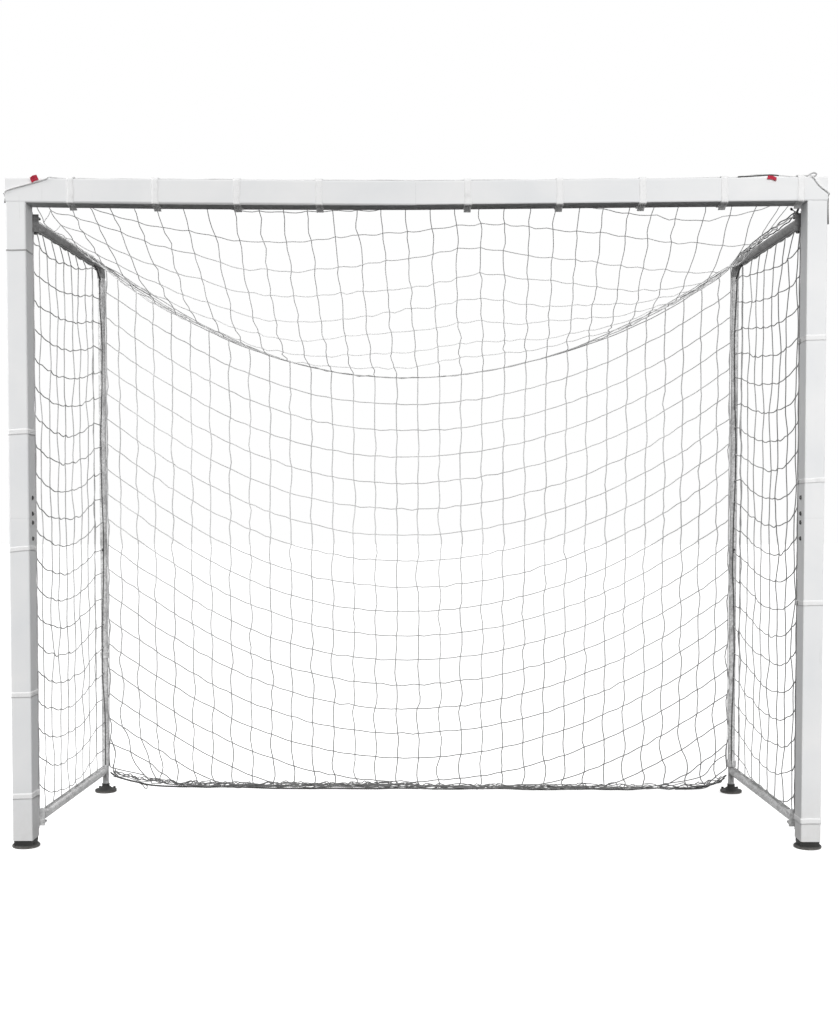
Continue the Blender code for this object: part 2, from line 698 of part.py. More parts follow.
def make_side_frames():
    for side, sign in SIDES.items():
        frame = bpy.data.objects.new(f"side_frame_{side}", None)
        goal.objects.link(frame)
        frame.location = (sign * PIVOT_X, PIVOT_Y, 0)
        frame.rotation_euler = (0, 0, sign * TOE_IN)
        bpy.context.view_layer.update()
        make_top_tube(side, frame)
        make_ground_tube(side, frame)
        make_back_post(side, frame)
        make_back_foot(side, frame)
        make_side_net(side, frame)


# ---- roof and back of the net ----


def rear_rope_z(share):
    """Height of the rear rope at a share of its half span."""
    return REAR_ROPE_END - REAR_ROPE_SAG * (1 - share**2)


def ground_rope_z(share):
    return GROUND_ROPE_END - GROUND_ROPE_SAG * (1 - share**2)


def net_sheet(name, columns, rows, place):
    """A net of strips round a grid of openings, whose crossings go where place(across, along) says."""
    bm = bmesh.new()
    bmesh.ops.create_grid(bm, x_segments=columns, y_segments=rows, size=1.0)
    for vertex in bm.verts:
        vertex.co = place(vertex.co.x, (vertex.co.y + 1) / 2)
    bmesh.ops.recalc_face_normals(bm, faces=bm.faces)
    openings = bm.faces[:]
    bmesh.ops.inset_individual(bm, faces=openings, thickness=NET_STRIP / 2, use_even_offset=True)
    bmesh.ops.delete(bm, geom=openings, context="FACES")
    obj = add(name, to_mesh_data(bm, name), TWINE)
    sheet = obj.modifiers.new("thickness", "SOLIDIFY")
    sheet.thickness = NET_THICK
    sheet.offset = 0
    return obj


def lean(slope):
    """The share of its thickness that a sheet on a slope reaches forward."""
    return slope / math.hypot(1, slope)


def off_rope(radius, sag, share):
    """How far above or below the axis of a sagging rope the edge of the net lies."""
    return (radius + GAP) * math.hypot(1, 2 * sag * share / BACK_X)


def roof_point(across, along):
    """From the rear of the bar to the rear rope, with its side edges lying on the top tubes."""
    depth = BACK_Y - REAR_Y
    fall = (BAR_TOP - rear_rope_z(0)) / depth
    belly = math.pi * ROOF_BELLY / depth
    front_y = REAR_Y + 2 * GAP + STRAP_THICK + NET_THICK / 2 * lean(fall + belly)
    rear_y = BACK_Y - REAR_ROPE_RADIUS - GAP - NET_THICK / 2 * lean(fall - belly)
    y = front_y + (rear_y - front_y) * along
    shoulder = math.sqrt(0.5) * (TUBE_RADIUS + GAP + NET_THICK)
    half = PIVOT_X - (y - PIVOT_Y) * math.tan(TOE_IN) - shoulder
    x = across * half
    front_z = BAR_TOP - STEEL_WALL - NET_THICK - bar_drop(x)
    edge_z = TOP_TUBE_Z + shoulder
    edge_z += (front_z - edge_z) * (1 - along) ** ROOF_DROP_POWER
    middle_z = front_z + (rear_rope_z(0) - front_z) * along - ROOF_BELLY * math.sin(math.pi * along)
    return Vector((x, y, edge_z + (middle_z - edge_z) * (1 - across**2)))


def back_point(across, along):
    """From under the rear rope down to just above the ground rope."""
    half = BACK_X - BELL_RADIUS - GAP - NET_THICK / 2
    top = rear_rope_z(across) - off_rope(REAR_ROPE_RADIUS, REAR_ROPE_SAG, across)
    low = ground_rope_z(across) + off_rope(ROPE_RADIUS, GROUND_ROPE_SAG, across)
    bulge = BACK_BULGE * math.sin(math.pi * along) * (1 - across**2)
    return Vector((across * half, BACK_Y + bulge, low + (top - low) * along))


def rope_between_posts(name, half, height, radius):
    shares = [2 * index / ROOF_COLUMNS - 1 for index in range(ROOF_COLUMNS + 1)]
    return pipe(name, [(share * half, BACK_Y, height(share)) for share in shares], radius, 8, ROPE)


def corner_route(side):
    """The border rope from the top of the bar, across the front of the corner, to the side of the post."""
    sign = SIDES[side]
    leave = HALF_WIDTH - ROPE_CORNERS[side][0]
    reach = BAR_TOP - ROPE_CORNERS[side][1]
    diagonal = math.sqrt(0.5) * ROPE_CLEAR
    beside = HALF_WIDTH + ROPE_CLEAR
    before = FRONT_Y - ROPE_CLEAR - STRAP_THICK
    top = BAR_TOP + ROPE_CLEAR
    mid_x, mid_z = (leave + HALF_WIDTH) / 2, BAR_TOP + (reach - BAR_TOP) * ROPE_BEND
    spots = [
        (leave - ROPE_RUN_UP, FRONT_Y + ROPE_INSET, top),
        (leave - ROPE_EDGE, FRONT_Y + ROPE_CLEAR, top),
        (leave, FRONT_Y - diagonal, BAR_TOP + diagonal),
        (leave + ROPE_EDGE, before, BAR_TOP - ROPE_CLEAR),
        (mid_x, before, mid_z),
        (HALF_WIDTH - ROPE_CLEAR, before, reach + ROPE_CLEAR),
        (HALF_WIDTH + diagonal, FRONT_Y - diagonal, reach),
    ]
    spots += [(beside, FRONT_Y + back, reach - down) for back, down in ROPE_TAILS]
    return [(sign * x, y, z - bar_drop(x)) for x, y, z in spots]


def make_front_rope():
    left = smooth_route(reversed(corner_route("left")), CORNER_STEP)
    right = smooth_route(corner_route("right"), CORNER_STEP)
    start, end = left[-1][0], right[0][0]
    parts = round((end - start) / ROPE_STEP)
    between = [start + (end - start) * index / parts for index in range(1, parts)]
    middle = [(x, FRONT_Y + ROPE_INSET, BAR_TOP + ROPE_CLEAR - bar_drop(x)) for x in between]
    pipe("front_rope", left + middle + right, ROPE_RADIUS, 8, ROPE)


def make_net():
    net_sheet("roof_net", ROOF_COLUMNS, ROOF_ROWS, roof_point)
    net_sheet("back_net", ROOF_COLUMNS, BACK_ROWS, back_point)
    top_half = BACK_X - TUBE_RADIUS - REAR_ROPE_RADIUS - 2 * GAP
    low_half = BACK_X - SPIGOT_RADIUS - ROPE_RADIUS - 2 * GAP
    rope_between_posts("rear_rope", top_half, rear_rope_z, REAR_ROPE_RADIUS)
    rope_between_posts("ground_rope", low_half, ground_rope_z, ROPE_RADIUS)
    make_front_rope()


def strap_outline(offset):
    """Round the bar and up over the rope, standing off both by a gap, as (y, z) points."""
    out = GAP + offset
    crest = BAR_TOP + ROPE_CLEAR + ROPE_RADIUS + out
    rope_y = FRONT_Y + ROPE_INSET
    half = ROPE_CLEAR + offset
    return [
        (FRONT_Y - out, BAR_BOTTOM - out),
        (REAR_Y + out, BAR_BOTTOM - out),
        (REAR_Y + out, BAR_TOP + out),
        (rope_y + 3 * half, BAR_TOP + out),
        (rope_y + half, crest),
        (rope_y - half, crest),
        (FRONT_Y - out, BAR_TOP + out),
    ]


def make_straps():
    stand = (math.pi / 2, 0, math.pi / 2)
    places = [SIDES[side] * (HALF_WIDTH - inset) for side in SIDES for inset in STRAP_PLACES[side]]
    for number, x in enumerate(places, 1):
        outlines = [strap_outline(STRAP_THICK), strap_outline(0)]
        spot = (x, 0, -bar_drop(x))
        flat_piece(f"bar_strap_{number}", outlines, STRAP_WIDTH, STRAP, None, spot, stand)


def make_tabs():
    """The left tab is sewn over the rope, the right one lies on the bar."""
    stands = {"left": TAB_STAND, "right": GAP + TAB_THICK}
    for side, (inset, width, height, tilt) in TABS.items():
        x = SIDES[side] * (HALF_WIDTH - inset)
        spot = (x, FRONT_Y - stands[side] + TAB_THICK / 2, BAR_TOP - TAB_LOW)
        size = (width, TAB_THICK, height)
        block(f"corner_tab_{side}", size, None, spot, (0, math.radians(tilt), 0), finish=RED)


clear_scene()
goal = collection("goal")
cutters = collection("cutters")
make_crossbar()
make_posts()
make_corner_inserts()
make_front_feet()
make_hinges()
make_side_frames()
make_net()
make_straps()
make_tabs()
for part in goal.objects:
    if part.type == "MESH" and not part.data.polygons:
        continue
    if part.type == "MESH":
        part.data.shade_smooth()
        part.data.set_sharp_from_angle(angle=math.radians(35))
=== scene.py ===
"""Looks for a folding goal with a painted box-section mouth, tube side frames and a knotted net."""

import json
import math

import bmesh
import bpy
import numpy as np
from mathutils import Matrix, Vector

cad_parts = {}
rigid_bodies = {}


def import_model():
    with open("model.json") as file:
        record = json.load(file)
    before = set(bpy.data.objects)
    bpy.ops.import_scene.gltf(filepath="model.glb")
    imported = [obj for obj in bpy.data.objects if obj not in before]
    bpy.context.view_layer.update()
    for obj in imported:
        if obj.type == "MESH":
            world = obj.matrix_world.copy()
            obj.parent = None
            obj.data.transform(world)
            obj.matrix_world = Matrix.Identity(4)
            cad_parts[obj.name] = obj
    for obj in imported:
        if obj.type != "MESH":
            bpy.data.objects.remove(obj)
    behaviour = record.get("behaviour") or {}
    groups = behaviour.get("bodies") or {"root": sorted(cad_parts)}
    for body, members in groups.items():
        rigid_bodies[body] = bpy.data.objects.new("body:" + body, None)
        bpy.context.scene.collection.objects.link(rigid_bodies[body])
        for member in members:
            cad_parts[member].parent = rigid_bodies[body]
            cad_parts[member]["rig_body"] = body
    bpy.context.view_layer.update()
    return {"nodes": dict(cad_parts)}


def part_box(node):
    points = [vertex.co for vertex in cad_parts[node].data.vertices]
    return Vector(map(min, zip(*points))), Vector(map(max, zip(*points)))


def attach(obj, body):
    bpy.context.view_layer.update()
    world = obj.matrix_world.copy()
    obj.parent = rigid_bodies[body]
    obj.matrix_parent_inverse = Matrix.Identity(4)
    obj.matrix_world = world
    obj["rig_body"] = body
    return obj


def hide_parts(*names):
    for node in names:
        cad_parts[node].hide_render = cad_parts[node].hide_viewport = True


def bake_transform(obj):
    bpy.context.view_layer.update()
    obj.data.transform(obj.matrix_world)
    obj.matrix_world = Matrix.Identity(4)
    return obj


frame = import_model()
nodes = frame["nodes"]
scene = bpy.context.scene
seeded = np.random.default_rng(31)

# ---- sizes read off the frame ----
bar_low, bar_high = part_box("crossbar_left")
FRONT_Y, REAR_Y = bar_low.y, bar_high.y
HALF_WIDTH = -bar_low.x
BAR_TOP = bar_high.z
BAR_SAG = 0.011
BAR_HEIGHT = 0.071
POST_WIDTH = 0.060
PIVOT_X, PIVOT_Y = 1.158, REAR_Y + 0.024
BACK_X, BACK_Y = 1.132, FRONT_Y + 0.830
TUBE_Z, GROUND_Z = 1.892, 0.080
TUBE_R, POST_R = 0.0143, 0.0127
ROPE_Y = FRONT_Y + 0.014  # the border rope's line along the top of the bar
SIDES = {"left": -1, "right": 1}

# ---- the net ----
CORD_R = 0.0017
KNOT_R = 0.0029
CORD_PARTS = 4  # lengths of cord from one knot to the next
COLUMNS = 32
BACK_ROWS = 20
ROOF_ROWS = 9
SIDE_ROWS = BACK_ROWS + 2
ROW_PITCH = 0.0901
SHARES = np.arange(COLUMNS + 1) / (COLUMNS / 2) - 1  # the columns, from -1 on the left to 1 on the right
# a side net's uprights: the first one's depth behind the front face, the step between them, and their number
SIDE_COLUMNS = {"left": (0.135, 0.0830, 8), "right": (0.100, 0.0905, 8)}
# the first row's height and the step between rows, at the post and at the back post
SIDE_HEIGHTS = {"left": (1.836, 0.0870, 1.866, 0.0898), "right": (1.8206, 0.0875, 1.840, 0.0890)}
# how much a side net's rows sag by the floor, and how far the lowest point lies towards the post
SIDE_SAG = {"left": (0.040, 0.9), "right": (0.045, 0.75)}
ROPE_LOW = -0.08  # where the rear rope hangs lowest, as a share of the half span
ROPE_TOP = 1.893
# the rear rope's height across the goal, as powers of the distance from the middle, the highest first
ROPE_CURVE = (-0.0150, 0.0222, 0.0299, -0.0482, 0.3027, 0.0251, 1.4941)
# the middle of each roof row, from the rear of the bar to the rope
ROOF_MIDDLE = (1.995, 1.950, 1.896, 1.824, 1.753, 1.683, 1.626, 1.570, 1.533, 1.500)
# how far back each row lies where it meets a tube, as a share of the way to the rope
ROOF_EDGES = {
    "left": (0.0, 0.0, 0.03, 0.13, 0.26, 0.40, 0.55, 0.70, 0.85, 1.0),
    "right": (0.0, 0.0, 0.50, 0.80, 0.92, 0.95, 0.97, 0.98, 0.99, 1.0),
}
# spare net that hangs in the bottom corners, as x and height
CORNER_SLACK = {
    "left": (
        ((-1.112, 0.190), (-1.103, 0.162), (-1.097, 0.136), (-1.102, 0.104), (-1.105, 0.071), (-1.088, 0.056)),
        ((-1.112, 0.186), (-1.098, 0.150), (-1.100, 0.112), (-1.106, 0.080), (-1.080, 0.050), (-1.040, 0.036)),
        ((-1.010, 0.030), (-0.998, 0.022), (-0.992, 0.012), (-0.984, 0.010), (-0.982, 0.020), (-0.996, 0.026)),
    ),
    "right": (
        (
            (1.112, 0.134), (1.085, 0.118), (1.061, 0.094), (1.045, 0.070),
            (1.023, 0.055), (0.975, 0.042), (0.90, 0.030),
        ),
        ((1.112, 0.060), (1.080, 0.040), (1.043, 0.016), (1.000, 0.010), (0.930, 0.009)),
    ),
}

# ---- ropes and straps ----
STRANDS = 3
STEPS_PER_TURN = 9
# where the border rope leaves the top of the bar and reaches the post's side, and how it bows between
ROPE_OUT = {"left": (0.130, 0.046, 0.43), "right": (0.055, 0.050, 0.5)}
ROPE_CLEAR = 0.0037
ROPE_RISE_X = 1.03  # where the border rope stands off the bar
TAIL_DROP = {"left": 0.012, "right": 0.075}
FRONT_EDGE_X = 1.1625
HEM_R = {"left": 0.0018, "right": 0.0026}
GROUND_ROPE_R = {"left": 0.0032, "right": 0.0026}
# how far the rear cords open, and the share of the half span from which there is a dark one
REAR_ROPE = {"left": (0.008, 0.82), "right": (0.011, 0.80)}
# the dark hook of cord under a top tube's bend, as distances ahead of the back post and heights
BEND_TIE = ((0.100, 1.874), (0.075, 1.868), (0.050, 1.852), (0.030, 1.838))
# the strands of the bundle on the right tube: rise off the tube, distance inwards and unevenness
BUNDLE = ((0.020, 0.004, 0.002), (0.013, 0.001, 0.003), (0.006, -0.003, 0.002), (0.010, 0.006, 0.004))
# radius and route of each tie at the right corner, with y from the rear of the bar
CORNER_TIES = (
    (0.0034, ((1.158, 0.005, 1.956), (1.157, 0.006, 1.944), (1.153, 0.007, 1.930), (1.149, 0.008, 1.920))),
    (0.0042, ((1.176, 0.005, 1.968), (1.172, 0.006, 1.956), (1.166, 0.006, 1.944), (1.162, 0.007, 1.934))),
    (0.0016, ((1.149, 0.008, 1.922), (1.142, 0.008, 1.925), (1.134, 0.007, 1.930))),
)
# a little curl of spare cord on top of the right corner, with y from the front of the bar
CORNER_CURL = (
    (1.160, 0.014, 2.013), (1.170, 0.012, 2.019), (1.179, 0.010, 2.0225),
    (1.187, 0.010, 2.019), (1.184, 0.012, 2.0135), (1.176, 0.016, 2.0135),
)
# each collar's middle and length, and its section as distances from the post and shares of the length
COLLARS = {"left": (0.497, 0.021), "right": (0.105, 0.024)}
COLLAR_SECTION = (
    (0.0009, -0.5), (0.0032, -0.48), (0.0036, -0.40), (0.0026, -0.28),
    (0.0026, 0.24), (0.0042, 0.36), (0.0040, 0.46), (0.0009, 0.5),
)
STRAP_THICK = 0.0013
# distances of the bar's straps from the end of their half
BAR_STRAPS = [(-1, d) for d in (0.192, 0.445, 0.688, 0.932)]
BAR_STRAPS += [(1, d) for d in (1.065, 0.792, 0.547, 0.305, 0.079)]
# each post's straps, as height, width and how far they run askew
POST_STRAPS = {
    "left": (
        (1.797, 0.005, 0.0), (1.257, 0.017, 0.002), (0.904, 0.015, 0.006),
        (0.468, 0.017, 0.001), (0.160, 0.018, 0.001),
    ),
    "right": ((1.535, 0.017, 0.001), (1.111, 0.014, 0.002), (0.744, 0.016, 0.002), (0.087, 0.017, 0.001)),
}
# each red tab's place, width, height, tilt in degrees, curl and lean
TABS = {
    "left": ((-HALF_WIDTH + 0.089, FRONT_Y - 0.0075, BAR_TOP - 0.004), 0.022, 0.016, -24, 0.002, 0.0),
    "right": ((HALF_WIDTH - 0.166, FRONT_Y - 0.0020, BAR_TOP - 0.005), 0.027, 0.011, 13, 0.001, 0.004),
}


def bell(x, middle, width):
    """1 at the middle, falling away smoothly on both sides."""
    return np.exp(-(((x - middle) / width) ** 2))


def eased(share):
    """A share from 0 to 1 that starts and ends gently."""
    return share * share * (3 - 2 * share)


def smooth(bm):
    for face in bm.faces:
        face.smooth = True


def finished(name, bm, finish, data=None):
    """The piece that a bmesh has been shaped into, in its finish, on the mesh given or on a new one."""
    data = data or bpy.data.meshes.new(name)
    bm.to_mesh(data)
    bm.free()
    data.name = name
    data.materials.clear()
    data.materials.append(finish)
    obj = bpy.data.objects.new(name, data)
    scene.collection.objects.link(obj)
    return obj


# ======== materials ========


def add_node(tree, kind, inputs=(), **settings):
    """A shader node with its settings made, and each input linked or given its value."""
    made = tree.nodes.new("ShaderNode" + kind)
    for key, value in settings.items():
        setattr(made, key, value)
    for key, value in dict(inputs).items():
        socket = made.inputs[key]
        if hasattr(value, "is_output"):
            tree.links.new(value, socket)
        else:
            socket.default_value = (*value, 1) if socket.type == "RGBA" else value
    return made


class Finish:
    """A material's node tree, built up a node at a time around one Principled BSDF."""

    def __init__(self, name, colour, roughness, metallic=0.0, specular=0.5):
        self.made = bpy.data.materials.new(name)
        self.made.use_nodes = True
        self.tree = self.made.node_tree
        self.shader = self.tree.nodes["Principled BSDF"]
        self.shader.inputs["Base Color"].default_value = (*colour, 1)
        self.shader.inputs["Roughness"].default_value = roughness
        self.shader.inputs["Metallic"].default_value = metallic
        self.shader.inputs["Specular IOR Level"].default_value = specular
        self.place = self.tree.nodes.new("ShaderNodeTexCoord").outputs["Object"]
        self.made.diffuse_color = (*colour, 1)

    def node(self, kind, inputs=(), **settings):
        return add_node(self.tree, kind, inputs, **settings)

    def stretched(self, scale):
        return self.node("Mapping", {"Vector": self.place, "Scale": scale}).outputs["Vector"]

    def noise(self, scale, detail=3.0, source=None, rough=0.5, warp=0.0):
        spot = {"Vector": source or self.place, "Scale": scale, "Detail": detail}
        spot.update({"Roughness": rough, "Distortion": warp})
        return self.node("TexNoise", spot).outputs["Fac"]

    def ramp(self, value, stops):
        made = self.node("ValToRGB", {"Fac": value})
        bar = made.color_ramp
        while len(bar.elements) < len(stops):
            bar.elements.new(0.5)
        for element, (at, colour) in zip(bar.elements, stops):
            element.position = at
            element.color = (*colour, 1)
        return made.outputs["Color"]

    def mix(self, share, first, second):
        return self.node("Mix", {0: share, 6: first, 7: second}, data_type="RGBA").outputs[2]

    def maths(self, operation, first, second, third=None):
        inputs = {0: first, 1: second}
        if third is not None:
            inputs[2] = third
        return self.node("Math", inputs, operation=operation).outputs[0]

    def times(self, first, second):
        return self.maths("MULTIPLY", first, second)

    def sum_of(self, first, share, second, other):
        """Two patterns added, each by its share."""
        return self.maths("ADD", self.times(first, share), self.times(second, other))

    def near_floor(self, low, high):
        """1 up to the lower height, falling to 0 at the upper one."""
        height = self.node("SeparateXYZ", {"Vector": self.place}).outputs["Z"]
        inputs = {"Value": height, "From Min": low, "From Max": high, "To Min": 1.0, "To Max": 0.0}
        return self.node("MapRange", inputs).outputs["Result"]

    def colour(self, value):
        self.tree.links.new(value, self.shader.inputs["Base Color"])
        return self

    def rough(self, value, low, high):
        spread = self.node("MapRange", {"Value": value, "To Min": low, "To Max": high})
        self.tree.links.new(spread.outputs["Result"], self.shader.inputs["Roughness"])
        return self

    def bump(self, value, depth, strength):
        made = self.node("Bump", {"Height": value, "Distance": depth, "Strength": strength})
        normal = self.shader.inputs["Normal"]
        if normal.is_linked:
            self.tree.links.new(normal.links[0].from_socket, made.inputs["Normal"])
        self.tree.links.new(made.outputs["Normal"], normal)
        return self


def grey(level):
    return (level, level, level)


def white_paint():
    """Powder-coated steel: fine orange peel, faint handling marks and dust near the floor."""
    f = Finish("white_paint", grey(0.84), 0.6, specular=0.0)
    cloud = f.noise(5.0, 4.0, warp=0.4)
    base = f.ramp(cloud, [(0.3, (0.80, 0.81, 0.82)), (0.7, grey(0.87))])
    scuff = f.noise(60.0, 6.0, f.stretched((1, 1, 0.06)), 0.7)
    marks = f.ramp(scuff, [(0.64, grey(0.0)), (0.74, grey(0.35))])
    rubbed = f.ramp(f.noise(7.0, 2.0), [(0.5, grey(0.0)), (0.66, grey(1.0))])
    base = f.mix(f.times(marks, rubbed), base, (0.42, 0.42, 0.41))
    dust = f.times(f.near_floor(0.02, 0.22), f.noise(40.0, 5.0, rough=0.65))
    base = f.mix(f.times(dust, 0.45), base, (0.50, 0.48, 0.45))
    f.colour(base).rough(scuff, 0.42, 0.6)
    return f.bump(f.noise(650.0, 2.0), 0.00005, 0.35).bump(scuff, 0.0001, 0.15).made


def galvanised(name, share=1.0):
    """Zinc on drawn tube, darkened by the share, which on the top tubes is painted shade: small spangles,
    lengthwise streaks and dull patches.
    """
    f = Finish(name, grey(0.5 * share), 0.5, 0.15, 0.15)
    cells = f.node("TexVoronoi", {"Vector": f.place, "Scale": 170.0}).outputs["Color"]
    spangle = f.node("SeparateColor", {"Color": cells}).outputs[0]
    streak = f.noise(30.0, 4.0, f.stretched((6, 0.35, 1)), 0.6)
    tone = f.sum_of(spangle, 0.35, streak, 0.75)
    base = f.ramp(tone, [(at, grey(level * share)) for at, level in ((0.3, 0.40), (0.55, 0.58), (0.8, 0.76))])
    dull = f.ramp(f.noise(14.0, 5.0, rough=0.6), [(0.5, grey(0.0)), (0.7, grey(0.7))])
    f.colour(f.mix(dull, base, grey(0.24 * share))).rough(tone, 0.36, 0.58)
    return f.bump(f.noise(240.0, 3.0), 0.00006, 0.4).made


def inner_zinc():
    """Plain zinc plate on the sleeves and inserts, scored where they slide."""
    f = Finish("inner_zinc", grey(0.5), 0.4, 0.6)
    score = f.noise(220.0, 3.0, f.stretched((1, 1, 0.05)))
    f.colour(f.ramp(score, [(0.35, (0.40, 0.41, 0.42)), (0.65, (0.60, 0.61, 0.62))]))
    return f.rough(score, 0.3, 0.5).bump(score, 0.00005, 0.3).made


def dark_steel():
    """Blackened screws and pins, worn to bare steel here and there."""
    f = Finish("dark_steel", grey(0.05), 0.45, 0.6)
    wear = f.noise(300.0, 5.0, rough=0.6)
    f.colour(f.ramp(wear, [(0.5, (0.025, 0.025, 0.026)), (0.72, (0.16, 0.155, 0.15))]))
    return f.rough(wear, 0.35, 0.6).bump(wear, 0.00008, 0.4).made


def rubber():
    """Moulded black rubber, dusty grey towards the floor."""
    f = Finish("black_rubber", grey(0.03), 0.75, specular=0.3)
    grain = f.noise(420.0, 4.0, rough=0.6)
    base = f.ramp(grain, [(0.3, grey(0.018)), (0.7, (0.045, 0.044, 0.042))])
    dust = f.times(f.near_floor(0.0, 0.010), f.noise(150.0, 4.0))
    base = f.mix(f.times(dust, 1.1), base, (0.33, 0.32, 0.30))
    return f.colour(base).rough(grain, 0.62, 0.86).bump(grain, 0.00015, 0.5).made


def fibre(name, dark, light, bumpy=0.00008, floor_shade=None):
    """Spun fibre: fine strands, with the odd darker length, and darkened towards the floor if asked, which is
    painted shade.
    """
    f = Finish(name, grey(light), 0.88, specular=0.2)
    strand = f.noise(900.0, 3.0, rough=0.6)
    tone = f.sum_of(strand, 0.55, f.noise(9.0, 3.0), 0.5)
    base = f.ramp(tone, [(0.36, grey(dark)), (0.66, grey(light))])
    # painted shade: the cords darken towards the floor
    if floor_shade:
        base = f.mix(f.near_floor(0.05, 0.95), base, grey(floor_shade))
    f.shader.inputs["Sheen Weight"].default_value = 0.15
    return f.colour(base).rough(strand, 0.8, 0.95).bump(strand, bumpy, 0.6).made


def webbing(name, dark, light):
    """Woven strap with a soft looped face, ribbed along and across."""
    f = Finish(name, grey(light), 0.9, specular=0.2)
    split = f.node("SeparateXYZ", {"Vector": f.node("TexCoord").outputs["UV"]}).outputs
    rib = f.maths("SINE", f.times(split["Y"], 2 * math.pi / 0.0022), 0.0)
    warp = f.maths("SINE", f.times(split["X"], 2 * math.pi / 0.0016), 0.0)
    weave = f.maths("MULTIPLY_ADD", f.times(rib, warp), 0.5, 0.5)
    fuzz = f.noise(700.0, 4.0, rough=0.65)
    base = f.ramp(f.sum_of(weave, 0.35, fuzz, 0.6), [(0.25, grey(dark)), (0.7, grey(light))])
    grime = f.ramp(f.noise(28.0, 4.0), [(0.56, grey(0.0)), (0.80, grey(0.35))])
    f.shader.inputs["Sheen Weight"].default_value = 0.2
    return f.colour(f.mix(grime, base, grey(0.46))).bump(weave, 0.0004, 0.5).bump(fuzz, 0.0003, 0.5).made


def red_tab():
    """Woven red ribbon, slightly faded in patches."""
    f = Finish("red_ribbon", (0.52, 0.03, 0.06), 0.8, specular=0.2)
    wave = f.node("TexWave", {"Vector": f.place, "Scale": 420.0, "Distortion": 1.0}, bands_direction="Z")
    thread = wave.outputs["Fac"]
    tone = f.sum_of(thread, 0.4, f.noise(150.0, 3.0), 0.6)
    f.colour(f.ramp(tone, [(0.25, (0.34, 0.02, 0.04)), (0.75, (0.64, 0.05, 0.09))]))
    return f.bump(thread, 0.0003, 0.5).made


PAINT = white_paint()
TUBE_ZINC = galvanised("galvanised_tube")
# a darker copy of the tube zinc for the top tubes: painted shade of the bar's shadow
TOP_TUBE_ZINC_PAINTED_SHADE = galvanised("top_tube_painted_shade", 0.47)
DARK_ZINC = galvanised("dark_bracket", 0.28)
INNER_ZINC = inner_zinc()
STEEL = dark_steel()
RUBBER = rubber()
# the back net's twine darkens towards the floor as painted shade
TWINE = fibre("net_twine", 0.46, 0.76, floor_shade=0.20)
# a lighter copy of the twine for the roof: painted light that makes up for the bar's shadow on it
ROOF_TWINE_PAINTED_LIGHT = fibre("roof_twine_painted_light", 0.84, 0.98)
# a darker copy of the twine for the side nets: painted shade
SIDE_TWINE_PAINTED_SHADE = fibre("side_twine_painted_shade", 0.31, 0.60)
ROPE_PALE = fibre("pale_rope", 0.55, 0.90)
ROPE_GREY = fibre("grey_rope", 0.34, 0.66, 0.0001)
ROPE_DARK = fibre("dark_rope", 0.035, 0.14, 0.0002)
STRAP_WHITE = webbing("white_webbing", 0.80, 0.97)
# a grey copy of the webbing: painted shade for a strap edge's shadow line
STRAP_PAINTED_SHADE = webbing("webbing_painted_shade", 0.30, 0.50)
RED = red_tab()


# ======== rigid pieces, carried over from the frame ========

# which finish each family of nodes has, the angle that counts as an edge, and the edges' rounding
RIGID_FINISHES = (
    (("crossbar_splice", "post_splice", "corner_bracket"), INNER_ZINC, 35, 0.0),
    (("crossbar", "post_upper"), PAINT, 20, 0.0),
    (("post_lower",), PAINT, 20, 0.0012),
    (("upper_bracket",), DARK_ZINC, 35, 0.0005),
    (("lower_bracket",), TUBE_ZINC, 35, 0.0005),
    (("top_tube",), TOP_TUBE_ZINC_PAINTED_SHADE, 40, 0.0),
    (("ground_tube", "back_post_upper", "back_post_lower"), TUBE_ZINC, 40, 0.0),
    (("lower_hinge_pin",), INNER_ZINC, 40, 0.0),
    (("post_bolt", "back_post_bolt", "upper_hinge_pin"), STEEL, 40, 0.0),
    (("front_foot", "back_foot"), RUBBER, 35, 0.0006),
)
PAINT_LAP = 0.0012  # how far a post's paint runs on over the hair gap under the bar


def dress(node, finish, bend, rounding):
    """A merged, smooth-shaded copy of a CAD node with its own finish, which stands for the node."""
    bm = bmesh.new()
    bm.from_mesh(nodes[node].data)
    bmesh.ops.remove_doubles(bm, verts=bm.verts, dist=1e-5)
    bmesh.ops.dissolve_limit(bm, angle_limit=math.radians(0.5), verts=bm.verts, edges=bm.edges)
    if node.startswith("post_upper"):
        top = max(vertex.co.z for vertex in bm.verts)
        for vertex in bm.verts:
            if vertex.co.z > top - 0.004:
                vertex.co.z += PAINT_LAP
    smooth(bm)
    obj = finished(f"{node}_finished", bm, finish)
    obj.data.set_sharp_from_angle(angle=math.radians(bend))
    if rounding:
        edge = obj.modifiers.new("worn_edges", "BEVEL")
        edge.width = rounding
        edge.segments = 2
        edge.limit_method = "ANGLE"
        edge.angle_limit = math.radians(50)
        edge.harden_normals = True
    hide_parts(node)
    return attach(obj, nodes[node]["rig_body"])


def dress_rigid():
    for node in sorted(nodes):
        for starts, finish, bend, rounding in RIGID_FINISHES:
            if node.startswith(starts):
                dress(node, finish, bend, rounding)
                break


# ======== cords ========


def run_along(route):
    """How far along a route each of its points lies."""
    return np.concatenate([[0], np.cumsum(np.linalg.norm(np.diff(route, axis=0), axis=1))])


def even_route(points, step):
    """Points about one step apart on a smooth curve through the given ones."""
    p = np.asarray([tuple(q) for q in points], float)
    p = np.vstack([2 * p[0] - p[1], p, 2 * p[-1] - p[-2]])
    out = []
    for a, b, c, d in zip(p, p[1:], p[2:], p[3:]):
        parts = max(1, int(round(np.linalg.norm(c - b) / step)))
        t = np.arange(parts)[:, None] / parts
        cubic = (3 * b - a - 3 * c + d) * t**3
        out.append(0.5 * (2 * b + (c - a) * t + (2 * a - 5 * b + 4 * c - d) * t**2 + cubic))
    return np.vstack(out + [p[-2][None]])


